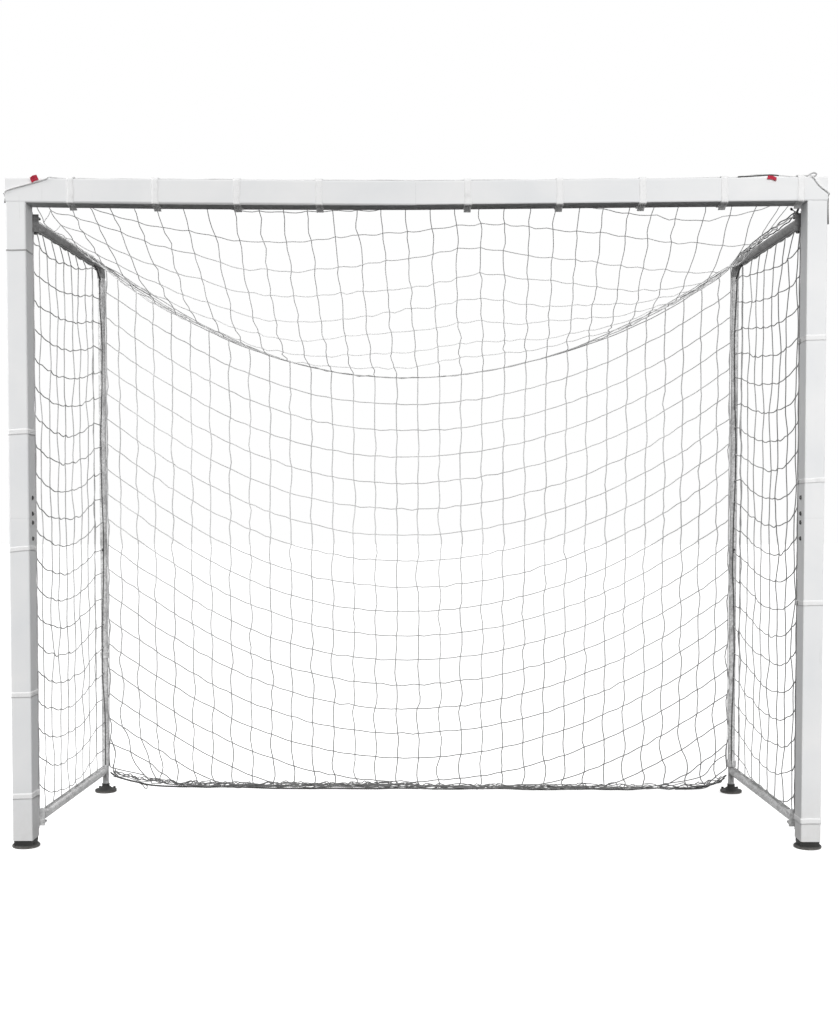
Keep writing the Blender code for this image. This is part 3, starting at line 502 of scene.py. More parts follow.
def frames_along(route):
    """Two directions across the route at each of its points, carried along without twist."""
    tangents = np.gradient(route, axis=0)
    tangents /= np.linalg.norm(tangents, axis=1)[:, None]
    across = [np.array(Vector(tangents[0]).orthogonal().normalized())]
    for before, after in zip(tangents, tangents[1:]):
        turn = Vector(before).rotation_difference(Vector(after))
        across.append(np.array(turn @ Vector(across[-1])))
    across = np.array(across)
    return across, np.cross(tangents, across)


def lay_strands(route, radius, pitch):
    """The strands of a laid rope round a route, and the radius of each."""
    route = even_route(route, pitch / STEPS_PER_TURN)
    u, v = frames_along(route)
    run = run_along(route)
    strand = radius / (1 + 1 / math.sin(math.pi / STRANDS))
    lay = radius - strand
    strands = []
    for index in range(STRANDS):
        angle = 2 * math.pi * (run / pitch + index / STRANDS)
        strands.append(route + lay * (u * np.cos(angle)[:, None] + v * np.sin(angle)[:, None]))
    return strands, strand * 1.12


def cord_piece(name, routes, radius, finish, radii=None):
    """One mesh of many six-sided cords, each a route of points."""
    curve = bpy.data.curves.new(name, "CURVE")
    curve.dimensions = "3D"
    curve.bevel_depth = radius
    curve.bevel_resolution = 1
    curve.use_fill_caps = True
    for number, route in enumerate(routes):
        spline = curve.splines.new("POLY")
        spline.points.add(len(route) - 1)
        flat = np.ones((len(route), 4), np.float32)
        flat[:, :3] = route
        spline.points.foreach_set("co", flat.ravel())
        if radii is not None:
            spline.points.foreach_set("radius", np.full(len(route), radii[number], np.float32))
    helper = bpy.data.objects.new(name, curve)
    scene.collection.objects.link(helper)
    bpy.context.view_layer.update()
    data = bpy.data.meshes.new_from_object(helper.evaluated_get(bpy.context.evaluated_depsgraph_get()))
    bpy.data.objects.remove(helper, do_unlink=True)
    bpy.data.curves.remove(curve)
    bm = bmesh.new()
    bm.from_mesh(data)
    bmesh.ops.remove_doubles(bm, verts=bm.verts, dist=1e-6)
    bmesh.ops.recalc_face_normals(bm, faces=bm.faces)
    for face in bm.faces:
        face.smooth = len(face.verts) == 4
    return finished(name, bm, finish, data)


def knots(name, spots, size, finish):
    """Small lumps, one at each spot, flattened and turned a little differently."""
    bm = bmesh.new()
    for spot in spots:
        turn = Matrix.Rotation(seeded.uniform(-0.5, 0.5), 4, "Y") @ Matrix.Rotation(seeded.uniform(0, 3), 4, "Z")
        stretch = [size * seeded.uniform(0.85, 1.15) * share for share in (1.0, 0.8, 1.15)]
        place = Matrix.Translation(Vector(spot)) @ turn @ Matrix.Diagonal((*stretch, 1))
        bmesh.ops.create_icosphere(bm, subdivisions=1, radius=1.0, matrix=place)
    smooth(bm)
    return finished(name, bm, finish)


def netting(name, routes, cord_radius, spots, knot_radius, finish):
    """The cords of a net and its knots, as one piece."""
    parts = [
        cord_piece("cords", routes, cord_radius, finish),
        knots("lumps", spots, knot_radius, finish),
    ]
    bm = bmesh.new()
    for part in parts:
        bm.from_mesh(part.data)
        bpy.data.objects.remove(part, do_unlink=True)
    return finished(name, bm, finish)


# ======== the net's shape ========


def bar_drop(x):
    """How far the bar sags at a place along it."""
    return BAR_SAG * (1 - (x / HALF_WIDTH) ** 2)


def hang(s):
    """0 at the lowest point of the rear rope, 1 at either end."""
    return np.where(s < ROPE_LOW, (s - ROPE_LOW) / (-1 - ROPE_LOW), (s - ROPE_LOW) / (1 - ROPE_LOW)) ** 2


def column_x(s):
    """Across the back, with the outermost cords lying against the back posts."""
    free = 1.130 * (s * 1.096 - 0.096 * s**3)
    edge = BACK_X - POST_R - 0.0035
    return np.clip(free, -edge, edge)


def rope_z(s):
    return np.polyval(ROPE_CURVE, column_x(s))


def ground_z(s):
    return np.where(s < 0, 0.014 + 0.055 * s**8, 0.010 + 0.052 * np.abs(s) ** 16)


def soft_floor(height, floor, soft=0.006):
    """Height, rounded off where it comes down to the floor."""
    rise = height - floor
    return floor + 0.5 * (rise + np.sqrt(rise**2 + 4 * soft**2))


def side_x(y, sign):
    """The plane of a side net, between the tubes."""
    return sign * (PIVOT_X - (y - PIVOT_Y) * (PIVOT_X - BACK_X) / (BACK_Y - PIVOT_Y))


def frame_point(side, y, z, inward=0.0):
    """A point in the plane of a side frame, moved in towards the goal."""
    sign = SIDES[side]
    return np.array([side_x(y, sign) - sign * inward, y, z])


def back_node(s, i):
    """Where row i of the back net crosses a column, as x, y, z."""
    grow = 1 - hang(s)
    free = rope_z(s) - ROW_PITCH * i - 0.0040 * grow * min(i, 8) + 0.0018 * grow * max(0, i - 8)
    bunch = ground_z(s) + 0.004 + 0.0032 * (BACK_ROWS - i)
    z = soft_floor(free, bunch)
    # the net bellies out behind, and its lowest columns are drawn sideways into the corners
    bulge = 0.026 * np.sin(np.pi * np.clip((rope_z(s) - z) / (rope_z(s) - 0.02), 0, 1)) * (1 - s**2)
    low = np.clip((i - 2) / 18, 0, 1)
    x = column_x(s) - 0.012 * np.sin(np.pi * s) * low**3
    drawn = np.clip((0.22 - z) / 0.20, 0, 1) ** 1.3
    x = x + drawn * (0.105 * bell(s, -0.94, 0.10) * (s > -0.99) + 0.045 * bell(s, 0.84, 0.07))
    return np.stack([x, BACK_Y + bulge + 0 * z, z], -1)


def roof_share(s, k):
    """How far back row k has come where it crosses each column."""
    t = k / ROOF_ROWS
    if k == 1:
        # the first row comes out from under the bar only in the middle
        left = -t * (0.25 * np.clip((-s - 0.10) / 0.20, 0, 1) + 0.75 * np.clip((-s - 0.44) / 0.14, 0, 1))
        right = np.interp(s, (0.45, 0.75, 0.88, 0.94, 1.0), (0.0, 0.10, 0.05, -0.01, -t))
    else:
        by_tube = np.interp(-s, (0.46, 0.63, 0.78, 0.92, 1.0), (0.0, 0.26, 0.52, 0.88, 1.0))
        left = by_tube * (ROOF_EDGES["left"][k] - t)
        right = np.where(s > 0, np.abs(s) ** 3.2 * (ROOF_EDGES["right"][k] - t), 0)
    return t + left + right


def roof_node(s, k):
    """Where row k of the roof crosses each column."""
    t = roof_share(s, k)
    y = REAR_Y + (BACK_Y - REAR_Y) * t
    front_x = 1.212 * s - 0.026 * (1 - s**2) - 0.008 * (1 - s**4)
    front_x = front_x - 0.016 * bell(s, -0.70, 0.16) - 0.012 * bell(s, 0.80, 0.20)
    front_x = np.clip(front_x, -1.185, 1.185)
    inner = side_x(y, 1) + 0.004
    front_x = np.where(t > 0, np.clip(front_x, -inner, inner), front_x)
    # the columns by the right tube hang straighter than the rest
    x = front_x + (column_x(s) - front_x) * t**1.2 + 0.034 * bell(s, 0.84, 0.11) * np.sin(np.pi * t)
    middle = np.interp(t, np.arange(ROOF_ROWS + 1) / ROOF_ROWS, ROOF_MIDDLE)
    edge = 1.912 + 0.087 * (1 - t) ** 3.5 - 0.019 * t**6
    low = ROPE_LOW * t
    share = np.abs(np.where(s < low, (s - low) / (1 + low), (s - low) / (1 - low)))
    z = edge + (middle - edge) * (1 - share ** (2 + 0.8 * np.sin(np.pi * t)))
    last = ROOF_MIDDLE[-1] + (ROPE_TOP - ROOF_MIDDLE[-1]) * share**2
    z = z + (rope_z(s) - last) * t**4
    # slow swells across the roof
    lift = 0.042 * bell(x, 0.19, 0.15) - 0.040 * bell(x, -0.42, 0.24) + 0.016 * bell(x, 0.46, 0.16)
    lift = lift - 0.046 * bell(x, -0.84, 0.22) * (1 - t) * (1 - s**6)
    z = z + lift * np.sin(np.pi * np.clip(t, 0, 1)) ** 0.6
    if k == 0:
        z = BAR_TOP + 0.002 - bar_drop(x)
    elif k < ROOF_ROWS:
        # the outermost cord lies along the top of the tube
        rim = np.abs(s) > 0.999
        slack = np.where(s > 0, 0.016 * np.sin(np.pi * t) ** 2, 0.0)
        x = np.where(rim, np.sign(s) * (side_x(y, 1) - 0.002), x)
        z = np.where(rim, TUBE_Z + TUBE_R + 0.0022 + slack + 0.07 * (1 - t) ** 20, z)
    return np.stack([x, y, z], -1)


def bowed(a, b, sway, lift=0.0, across=(1, 0, 0), skew=0.0):
    """Points between two knots on a slack cord that bows across and hangs a little."""
    t = np.arange(CORD_PARTS) / CORD_PARTS
    curve = np.sin(np.pi * t)
    line = a + (b - a) * t[:, None] + np.outer(sway * curve + skew * np.sin(2 * np.pi * t), across)
    line[:, 2] += lift * curve
    return line


def mesh_cords(grid, sway, hang_rows, across=(1, 0, 0), bend=0.0015):
    """The row cords and the column cords through a grid of knots, indexed [row][column]."""
    rows, columns = grid.shape[:2]
    ripple = np.sin(2 * np.pi * np.arange(CORD_PARTS) / CORD_PARTS)
    routes, uprights = [], []
    for i in range(rows):
        line = []
        for j in range(columns - 1):
            skew = seeded.normal(0, bend)
            part = bowed(grid[i, j], grid[i, j + 1], 0, hang_rows * seeded.uniform(0.4, 1.6), across)
            part[:, 2] += skew * ripple
            line.append(part)
        routes.append(np.vstack(line + [grid[i, -1][None]]))
    for j in range(columns):
        line = []
        for i in range(rows - 1):
            bow = sway[i] * seeded.uniform(0.3, 1.3) + seeded.normal(0, 0.0012)
            line.append(bowed(grid[i, j], grid[i + 1, j], bow, 0.0, across, seeded.normal(0, bend)))
        uprights.append(np.vstack(line + [grid[-1, j][None]]))
    return routes, uprights


def keep_half(grid, rows, uprights, sign):
    """The cords and knots on one side of the middle. The middle upright goes with the left."""
    middle = COLUMNS // 2
    cut = CORD_PARTS * middle
    if sign < 0:
        routes = [row[: cut + 1] for row in rows] + uprights[: middle + 1]
        spots = grid[1:-1, : middle + 1]
    else:
        routes = [row[cut:] for row in rows] + uprights[middle + 1 :]
        spots = grid[1:-1, middle + 1 :]
    return routes, spots.reshape(-1, 3)


def net_weights(obj):
    """The net's place baked into its points, which are then read out."""
    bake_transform(obj)
    co = np.zeros(len(obj.data.vertices) * 3, np.float32)
    obj.data.vertices.foreach_get("co", co)
    co = co.reshape(-1, 3)


def make_back_net():
    grid = np.array([back_node(SHARES, i) for i in range(BACK_ROWS + 1)])
    # knots moved a little, less on the rim and not at all along the rope
    share = np.ones(grid.shape[:2])
    share[:, [0, -1]] = 0.25
    share[0] = 0
    grid[..., [0, 2]] += seeded.normal(0, 1, (*share.shape, 2)) * (0.0014, 0.0012) * share[..., None]
    # the rows hang with a slow wave, more towards the floor
    for i in range(1, BACK_ROWS + 1):
        phase = seeded.uniform(0, 6.3)
        wave = np.sin(SHARES * seeded.uniform(4, 9) + phase)
        grid[i, :, 0] += (0.001 + 0.0035 * (i / BACK_ROWS) ** 2) * wave * (1 - SHARES**4)
    bows = [0.0022 + 0.0055 * (i / BACK_ROWS) ** 2 for i in range(BACK_ROWS)]
    sway = [(-1) ** i * bow * seeded.uniform(0.6, 1.2) for i, bow in enumerate(bows)]
    rows, uprights = mesh_cords(grid, sway, -0.0012)
    for side, sign in SIDES.items():
        routes, spots = keep_half(grid, rows, uprights, sign)
        net = netting(f"back_netting_{side}", routes, 1.12 * CORD_R, spots, 0.94 * KNOT_R, TWINE)
        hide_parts("back_net")
        net_weights(net)
    return grid


def make_roof_net(back):
    grid = np.array([roof_node(SHARES, k) for k in range(ROOF_ROWS + 1)])
    inner = grid[1:-1]
    inner += seeded.normal(0, 1, inner.shape) * (0.002, 0.003, 0.0024)
    for i in range(1, ROOF_ROWS):
        wave = np.sin(SHARES * seeded.uniform(6, 11) + seeded.uniform(0, 6.3))
        grid[i, :, 2] += 0.0040 * wave * (1 - SHARES**6)
    grid[-1, :, [0, 2]] = back[0, :, [0, 2]]
    sway = [(-1) ** i * 0.0028 for i in range(ROOF_ROWS)]
    rows, uprights = mesh_cords(grid, sway, -0.003, bend=0.002)
    # the columns start over the bar, from the border rope on top of it
    for j, upright in enumerate(uprights):
        x = grid[0, j, 0]
        uprights[j] = np.vstack([(x, ROPE_Y, BAR_TOP + 0.0036 - bar_drop(x)), upright])
    for side, sign in SIDES.items():
        routes, spots = keep_half(grid, rows[1:-1], uprights, sign)
        net = netting(f"roof_netting_{side}", routes, 0.82 * CORD_R, spots, 0.82 * KNOT_R, ROOF_TWINE_PAINTED_LIGHT)
        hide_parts("roof_net")
        net_weights(net)


def make_side_nets():
    for side, sign in SIDES.items():
        first, pitch, count = SIDE_COLUMNS[side]
        front_top, front_step, back_top, back_step = SIDE_HEIGHTS[side]
        deepest, towards_post = SIDE_SAG[side]
        depths = np.array([0.077] + [first + pitch * k for k in range(count)])
        along = (depths - depths[0]) / (depths[-1] - depths[0])
        skewed = along**towards_post
        grid = np.zeros((SIDE_ROWS, len(depths), 3))
        for i in range(SIDE_ROWS):
            front, back = front_top - front_step * (i - 1), back_top - back_step * (i - 1)
            sag = (0.020 + deepest * min(1, i / 9)) * 4 * skewed * (1 - skewed)
            lowest = GROUND_Z + TUBE_R + 0.004 * (SIDE_ROWS - i)
            grid[i, :, 2] = np.maximum(front + (back - front) * along - sag, lowest)
        grid[..., 1] = FRONT_Y + depths
        grid[-1, :, 2] = GROUND_Z + TUBE_R + 0.003
        # the top row lies along the tube, its columns leaning forward
        grid[0, :, 2] = TUBE_Z - TUBE_R - 0.003
        grid[0, 1:-1, 1] -= 0.060 * (1 - 0.5 * along[1:-1])
        grid[0, 1, 1] += 0.030
        grid[1:-1, 1:-1, 1:] += seeded.normal(0, 0.0020, grid[1:-1, 1:-1, 1:].shape)
        grid[..., 0] = side_x(grid[..., 1], sign)
        grid[1:-1, 1:-1, 0] += seeded.normal(0, 0.003, grid[1:-1, 1:-1, 0].shape)
        sway = [(-1) ** i * 0.003 for i in range(SIDE_ROWS)]
        rows, uprights = mesh_cords(grid, sway, -0.0045, across=(0, 1, 0))
        # each row goes on to the back post and is tied round it
        for i in range(1, SIDE_ROWS - 1):
            end = grid[i, -1]
            post = frame_point(side, BACK_Y - POST_R - 0.001, end[2] + seeded.uniform(-0.006, 0.012))
            hook = end + (0, 0.014, seeded.uniform(-0.010, 0.002))
            rows[i] = np.vstack([rows[i], even_route([end, hook, post], 0.02)[1:]])
        spots = grid[1:-1, 1:].reshape(-1, 3)
        net = netting(f"side_netting_{side}", rows + uprights, CORD_R, spots, KNOT_R, SIDE_TWINE_PAINTED_SHADE)
        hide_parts(f"side_net_{side}")
        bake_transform(net)


# ======== ropes and lacing ========


def rope_piece(name, runs, finish, body=None):
    """Laid ropes, each (points, radius, pitch), as one mesh."""
    routes, radii = [], []
    for points, radius, pitch in runs:
        strands, strand = lay_strands(points, radius, pitch)
        routes += strands
        radii += [strand] * len(strands)
    obj = cord_piece(name, routes, 1.0, finish, radii)
    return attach(obj, body) if body else obj


def wander(points, size, seed):
    """Points moved off their line by a slow drift, their ends left alone."""
    rng = np.random.default_rng(seed)
    points = np.asarray([tuple(p) for p in points], float)
    drift = rng.normal(0, size, points.shape)
    drift[1:-1] = (drift[:-2] + drift[1:-1] + drift[2:]) / 2
    drift[0] = drift[-1] = 0
    return points + drift


def make_lacing():
    """Border cords of the nets beside the back posts and along the tubes, and dark ties at the corners."""
    for side, sign in SIDES.items():
        body = f"side_frame_{side}"
        seed = 50 + sign
        first, step, count = SIDE_COLUMNS[side]
        last_y = FRONT_Y + first + step * (count - 1)
        edge = POST_R + 0.0026
        down = [frame_point(side, BACK_Y - edge, z, 0.004 * math.sin(9 * z)) for z in np.linspace(1.84, 0.10, 36)]
        down = wander(down, 0.0010, seed)
        down[:, 1] = np.minimum(down[:, 1], BACK_Y - edge)
        hem = [frame_point(side, last_y + 0.004 * math.sin(23 * z), z) for z in np.linspace(1.868, 0.10, 60)]
        hem = wander(hem, 0.0022, seed + 5)
        inner = [frame_point(side, BACK_Y + 0.002, z, edge) for z in np.linspace(1.84, 0.09, 30)]
        inner = wander(inner, 0.001, seed + 3)
        under_z, over_z = TUBE_Z - TUBE_R - 0.0042, GROUND_Z + TUBE_R + 0.0042
        under = [frame_point(side, y, under_z) for y in np.linspace(REAR_Y + 0.05, BACK_Y - 0.045, 14)]
        over = [frame_point(side, y, over_z) for y in np.linspace(REAR_Y + 0.05, BACK_Y - 0.02, 14)]
        rope_piece(f"side_border_{side}", [(down, 0.0020, 0.012), (under, 0.0018, 0.012)], ROPE_DARK, body)
        rope_piece(f"side_hem_{side}", [(over, 0.0020, 0.012), (hem, HEM_R[side], 0.013)], ROPE_GREY, body)
        rope_piece(f"back_hem_{side}", [(inner, 0.0015, 0.010)], ROPE_PALE, body)
        hook = [frame_point(side, BACK_Y - ahead, z, 0.004) for ahead, z in BEND_TIE]
        rope_piece(f"bend_tie_{side}", [(hook, 0.0034, 0.012)], ROPE_DARK, body)
    make_right_bundle()
    make_collars()


def make_right_bundle():
    """Spare border cord bundled along the upper side of the right tube, from the corner to the bend."""
    rng = np.random.default_rng(12)
    start, end = REAR_Y + 0.044, BACK_Y - 0.030
    strands = []
    for number, (rise, gap, drift) in enumerate(BUNDLE):
        line = []
        for y in np.linspace(start, end, 22):
            share = (y - start) / (end - start)
            lift = TUBE_R + 0.003 + rise * math.sin(math.pi * share) ** 0.8 + 0.018 * (1 - share) ** 6
            line.append(frame_point("right", y, TUBE_Z + lift + rng.normal(0, 0.0012), gap + rng.normal(0, drift)))
        line.append(frame_point("right", BACK_Y - 0.004, TUBE_Z + 0.001, TUBE_R + 0.004))
        strands.append((wander(line, 0.0012, 70 + number), 0.0019, 0.012))
    rope_piece("tube_bundle_dark", strands[::2], ROPE_DARK, "side_frame_right")
    rope_piece("tube_bundle_pale", strands[1::2], ROPE_PALE, "side_frame_right")
    ties = [([(x, REAR_Y + back, z) for x, back, z in spots], radius, 0.010) for radius, spots in CORNER_TIES]
    rope_piece("corner_ties_right", ties, ROPE_DARK, "front_frame")
    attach(knots("corner_tie_knot", [(1.133, REAR_Y + 0.007, 1.931)], 0.0042, ROPE_DARK), "front_frame")
    curl = [(x, FRONT_Y + back, z) for x, back, z in CORNER_CURL]
    rope_piece("corner_curl", [(curl, 0.0024, 0.010)], ROPE_GREY, "front_frame")


def make_collars():
    """Short collars pushed onto the back posts."""
    for side, (z, tall) in COLLARS.items():
        x, y, _ = frame_point(side, BACK_Y, z)
        bm = bmesh.new()
        line = [bm.verts.new((x + POST_R + out, y, z + up * tall)) for out, up in COLLAR_SECTION]
        edges = [bm.edges.new(pair) for pair in zip(line, line[1:] + line[:1])]
        bmesh.ops.spin(
            bm, geom=line + edges, cent=(x, y, z), axis=(0, 0, 1), angle=2 * math.pi, steps=40, use_merge=True
        )
        bmesh.ops.remove_doubles(bm, verts=bm.verts, dist=1e-6)
        bmesh.ops.recalc_face_normals(bm, faces=bm.faces)
        smooth(bm)
        obj = finished(f"back_post_collar_{side}", bm, TUBE_ZINC)
        obj.data.set_sharp_from_angle(angle=math.radians(50))
        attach(obj, f"side_frame_{side}")


def spread(s):
    """How far apart the rear cords lie: together in the middle, apart towards the posts."""
    return eased(np.clip((np.abs(s) - 0.28) / 0.5, 0, 1)) * np.clip((1 - np.abs(s)) / 0.06, 0, 1)


def make_rear_rope():
    """One thin cord in the middle that opens into three towards the posts, one of them dark."""
    for side, sign in SIDES.items():
        wide, dark_from = REAR_ROPE[side]
        whole = np.linspace(0, sign, 44)
        outer = np.linspace(0.36 * sign, sign, 30)
        runs = []
        for number, (shares, up, seed) in enumerate(((whole, -wide, 5), (outer, wide, 9))):
            z = rope_z(shares) + up * spread(shares)
            line = np.stack([column_x(shares), BACK_Y + 0.002 + 0.002 * number + 0 * z, z], -1)
            line = wander(line, 0.0009, seed + sign)
            if number == 0:
                # both halves start from the same point in the middle
                line[0] = (0, BACK_Y + 0.002, rope_z(0.0))
            runs.append((line, 0.0017, 0.011))
        obj = rope_piece(f"rear_rope_{side}", runs, ROPE_GREY)
        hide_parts("rear_rope")
        net_weights(obj)
        dark = np.linspace(dark_from * sign, sign, 24)
        z = rope_z(dark) + 0.3 * wide * spread(dark)
        line = wander(np.stack([column_x(dark), BACK_Y - 0.002 + 0 * z, z], -1), 0.0012, 77)
        thin = cord_piece(f"rear_rope_whipping_{side}", [even_route(line, 0.006)], 0.0016, ROPE_DARK)
        net_weights(thin)


def make_ground_rope():
    """A dark twisted rope that drags on the floor, with loose loops of the net's lowest rows."""
    for side, sign in SIDES.items():
        shares = np.linspace(0, 1, 26) if sign > 0 else np.linspace(-1, 0, 26)
        x, z = column_x(shares), ground_z(shares)
        middle = np.stack([x, BACK_Y + 0.004 + 0 * z, np.maximum(z, 0.006)], -1)
        path = wander(middle, 0.0018, 11 + sign)
        path[0 if sign > 0 else -1] = (0, BACK_Y + 0.004, 0.012)
        path[:, 2] = np.maximum(path[:, 2], 0.0045)
        obj = rope_piece(f"ground_rope_{side}", [(path, GROUND_ROPE_R[side], 0.020)], ROPE_DARK)
        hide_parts("ground_rope")
        net_weights(obj)
        rng = np.random.default_rng(90 + sign)
        loops = []
        for number in range(5):
            count = 70
            s = np.linspace(0, sign * 0.97, count)
            lift = rng.uniform(0.003, 0.020) * (0.6 + 0.8 * rng.random(count))
            off = rng.normal(0, 0.009, count)
            line = np.stack([column_x(s) + rng.normal(0, 0.006, count), BACK_Y + off, ground_z(s) + lift], -1)
            line[0] = (0, BACK_Y, 0.016 + 0.004 * number)
            line[:, 2] = np.maximum(line[:, 2], 0.003)
            loops.append(even_route(line, 0.008))
        for spots in CORNER_SLACK[side]:
            loops.append(even_route([(x, BACK_Y + 0.004, z) for x, z in spots], 0.008))
        tangle = cord_piece(f"bunched_rows_{side}", loops, CORD_R, TWINE)
        net_weights(tangle)


def corner_route(side):
    """The border rope off the top of the bar, across the front of the corner, to the side of the post."""
    sign = SIDES[side]
    off_bar, down_post, bow = ROPE_OUT[side]
    leave, reach = HALF_WIDTH - off_bar, BAR_TOP - down_post
    front = FRONT_Y - ROPE_CLEAR
    spots = [
        (leave - 0.045, ROPE_Y, BAR_TOP + ROPE_CLEAR),
        (leave - 0.012, FRONT_Y + ROPE_CLEAR, BAR_TOP + ROPE_CLEAR),
        (leave, FRONT_Y - 0.0026, BAR_TOP + 0.0026),
        (leave + 0.012, front, BAR_TOP - ROPE_CLEAR),
        ((leave + HALF_WIDTH) / 2, front, BAR_TOP + (reach - BAR_TOP) * bow),
        (HALF_WIDTH - 0.010, front, reach + 0.010),
        (HALF_WIDTH + 0.0026, FRONT_Y - 0.0026, reach),
        (HALF_WIDTH + ROPE_CLEAR, FRONT_Y + 0.006, reach - 0.003),
        (HALF_WIDTH + ROPE_CLEAR, ROPE_Y, reach - 0.012),
    ]
    return [(sign * x, y, z - bar_drop(x)) for x, y, z in spots]


def make_border_rope():
    """The rope along the top of the bar, down over each front corner, and its dark tails."""
    left, right = corner_route("left")[::-1], corner_route("right")
    rng = np.random.default_rng(4)
    along = []
    for x in np.linspace(left[-1][0], right[0][0], 40)[1:-1]:
        z = BAR_TOP + ROPE_CLEAR - bar_drop(x) + 0.006 * bell(x, ROPE_RISE_X, 0.07)
        along.append((x, ROPE_Y + rng.normal(0, 0.0022), z + abs(rng.normal(0, 0.0007))))
    obj = rope_piece("border_rope", [(left + along + right, 0.0019, 0.012)], ROPE_PALE)
    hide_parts("front_rope")
    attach(obj, "front_frame")
    tails = []
    for side, sign in SIDES.items():
        last = np.array(corner_route(side)[-1])
        drop = TAIL_DROP[side]
        tail = [last, last + (sign * 0.001, 0.004, -0.35 * drop), last + (sign * 0.002, 0.002, -drop)]
        tails.append((tail, 0.0026, 0.012))
    # a dark strand lies on the bar beside the right tab
    x = np.linspace(0.955, 1.075, 12)
    z = BAR_TOP + 0.004 + 0.004 * bell(x, ROPE_RISE_X, 0.07) - bar_drop(x)
    lying = np.stack([x, FRONT_Y + 0.010 + 0 * x, z], -1)
    tails.append((wander(lying, 0.0008, 3), 0.0022, 0.012))
    rope_piece("border_rope_tails", tails, ROPE_DARK, "front_frame")


# ======== straps and tabs ========


def outline_round(corners, radius, per_corner=5):
    """A section with rounded corners, as points and the direction outwards at each, evenly turned."""
    corners = [np.array(c, float) for c in corners]
    points, out = [], []
    count = len(corners)
    for index, corner in enumerate(corners):
        into = corner - corners[index - 1]
        away = corners[(index + 1) % count] - corner
        into, away = into / np.linalg.norm(into), away / np.linalg.norm(away)
        a, b = np.array([into[1], -into[0]]), np.array([away[1], -away[0]])
        half = math.acos(max(-1, min(1, float(a @ b)))) / 2
        middle = (a + b) / np.linalg.norm(a + b)
        centre = corner - middle * radius / math.cos(half)
        for step in range(per_corner):
            share = step / (per_corner - 1)
            normal = a * (1 - share) + b * share
            normal /= np.linalg.norm(normal)
            points.append(centre + normal * radius)
            out.append(normal)
    return np.array(points), np.array(out)


def flat_strip(along, across, size):
    """A flat grid to be bent into a strip, and its empty UV layer."""
    bm = bmesh.new()
    bmesh.ops.create_grid(bm, x_segments=along, y_segments=across, size=size)
    return bm, bm.loops.layers.uv.new("UVMap")


def woven_piece(name, bm, uv, flat, finish, thick):
    """The piece that a strip has been bent into, with each point's place on the flat strip as its UV."""
    bm.verts.index_update()
    smooth(bm)
    for face in bm.faces:
        for loop in face.loops:
            loop[uv].uv = flat[loop.vert.index]
    obj = finished(name, bm, finish)
    obj.modifiers.new("thickness", "SOLIDIFY").thickness = thick
    return obj


def strap(name, corners, spot, width, finish, axes, turns, start, tail, seed, askew=0.0):
    """A flat strap wound a little over once round a section, its end lying on its own first turn.
    axes are the two directions of the section and the one across the strap."""
    rng = np.random.default_rng(seed)
    a, b, across = (np.array(axis, float) for axis in axes)
    spot = np.array(spot, float)
    points, out = outline_round(corners, 0.004)
    points, out = np.vstack([points, points[:1]]), np.vstack([out, out[:1]])
    run = run_along(points)
    whole = run[-1]
    stations, lanes = int(150 * turns), 4
    soft = rng.normal(0, 0.00022, (stations + 1, lanes + 1))
    edge_wave = np.interp(np.arange(stations + 1), np.linspace(0, stations, 14), rng.normal(0, 0.0005, 14))
    bm, uv = flat_strip(stations, lanes, 1.0)
    flat = {}
    for vertex in bm.verts:
        i = round((vertex.co.x + 1) / 2 * stations)
        j = round((vertex.co.y + 1) / 2 * lanes)
        wound = i / stations * turns
        flat[vertex.index] = (j / lanes * width, wound * whole)
        at = (start + wound) * whole % whole
        place = [np.interp(at, run, points[:, k]) for k in range(2)]
        normal = np.array([np.interp(at, run, out[:, k]) for k in range(2)])
        normal /= np.linalg.norm(normal)
        over = eased(max(0.0, min(1.0, (wound - 0.985) / 0.03)))
        end = max(0.0, (i / stations - 1) * turns * whole + 0.030) / 0.030
        lift = 0.0004 + (STRAP_THICK + 0.0005) * over + tail * end * end + max(0.0, soft[i, j])
        side = (j / lanes - 0.5) * (width + 0.4 * edge_wave[i]) + edge_wave[i]
        side += askew * math.sin(2 * math.pi * (start + wound))
        place = a * (place[0] + normal[0] * lift) + b * (place[1] + normal[1] * lift) + across * side
        vertex.co = Vector(spot + place)
    obj = woven_piece(name, bm, uv, flat, finish, STRAP_THICK)
    first = obj.data.polygons[0]
    outward = np.array(first.normal) @ (np.array(first.center) - spot)
    obj.modifiers["thickness"].offset = 1.0 if outward > 0 else -1.0
    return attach(obj, "front_frame")


def make_bar_straps():
    """Straps that hold the border rope to the bar, their ends hanging under it."""
    low = BAR_TOP - BAR_HEIGHT
    corners = [
        (FRONT_Y, low),
        (REAR_Y, low),
        (REAR_Y, BAR_TOP),
        (ROPE_Y + 0.006, BAR_TOP + 0.0078),
        (ROPE_Y - 0.006, BAR_TOP + 0.0078),
        (FRONT_Y, BAR_TOP + 0.0012),
    ]
    axes = ((0, 1, 0), (0, 0, 1), (1, 0, 0))
    for number, (sign, inset) in enumerate(BAR_STRAPS, 1):
        x = sign * (HALF_WIDTH - inset)
        name, spot = f"bar_strap_wound_{number}", (x, 0, -bar_drop(x))
        obj = strap(name, corners, spot, 0.021, STRAP_WHITE, axes, turns=1.13, start=0.03, tail=0.011, seed=number)
        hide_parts(f"bar_strap_{number}")


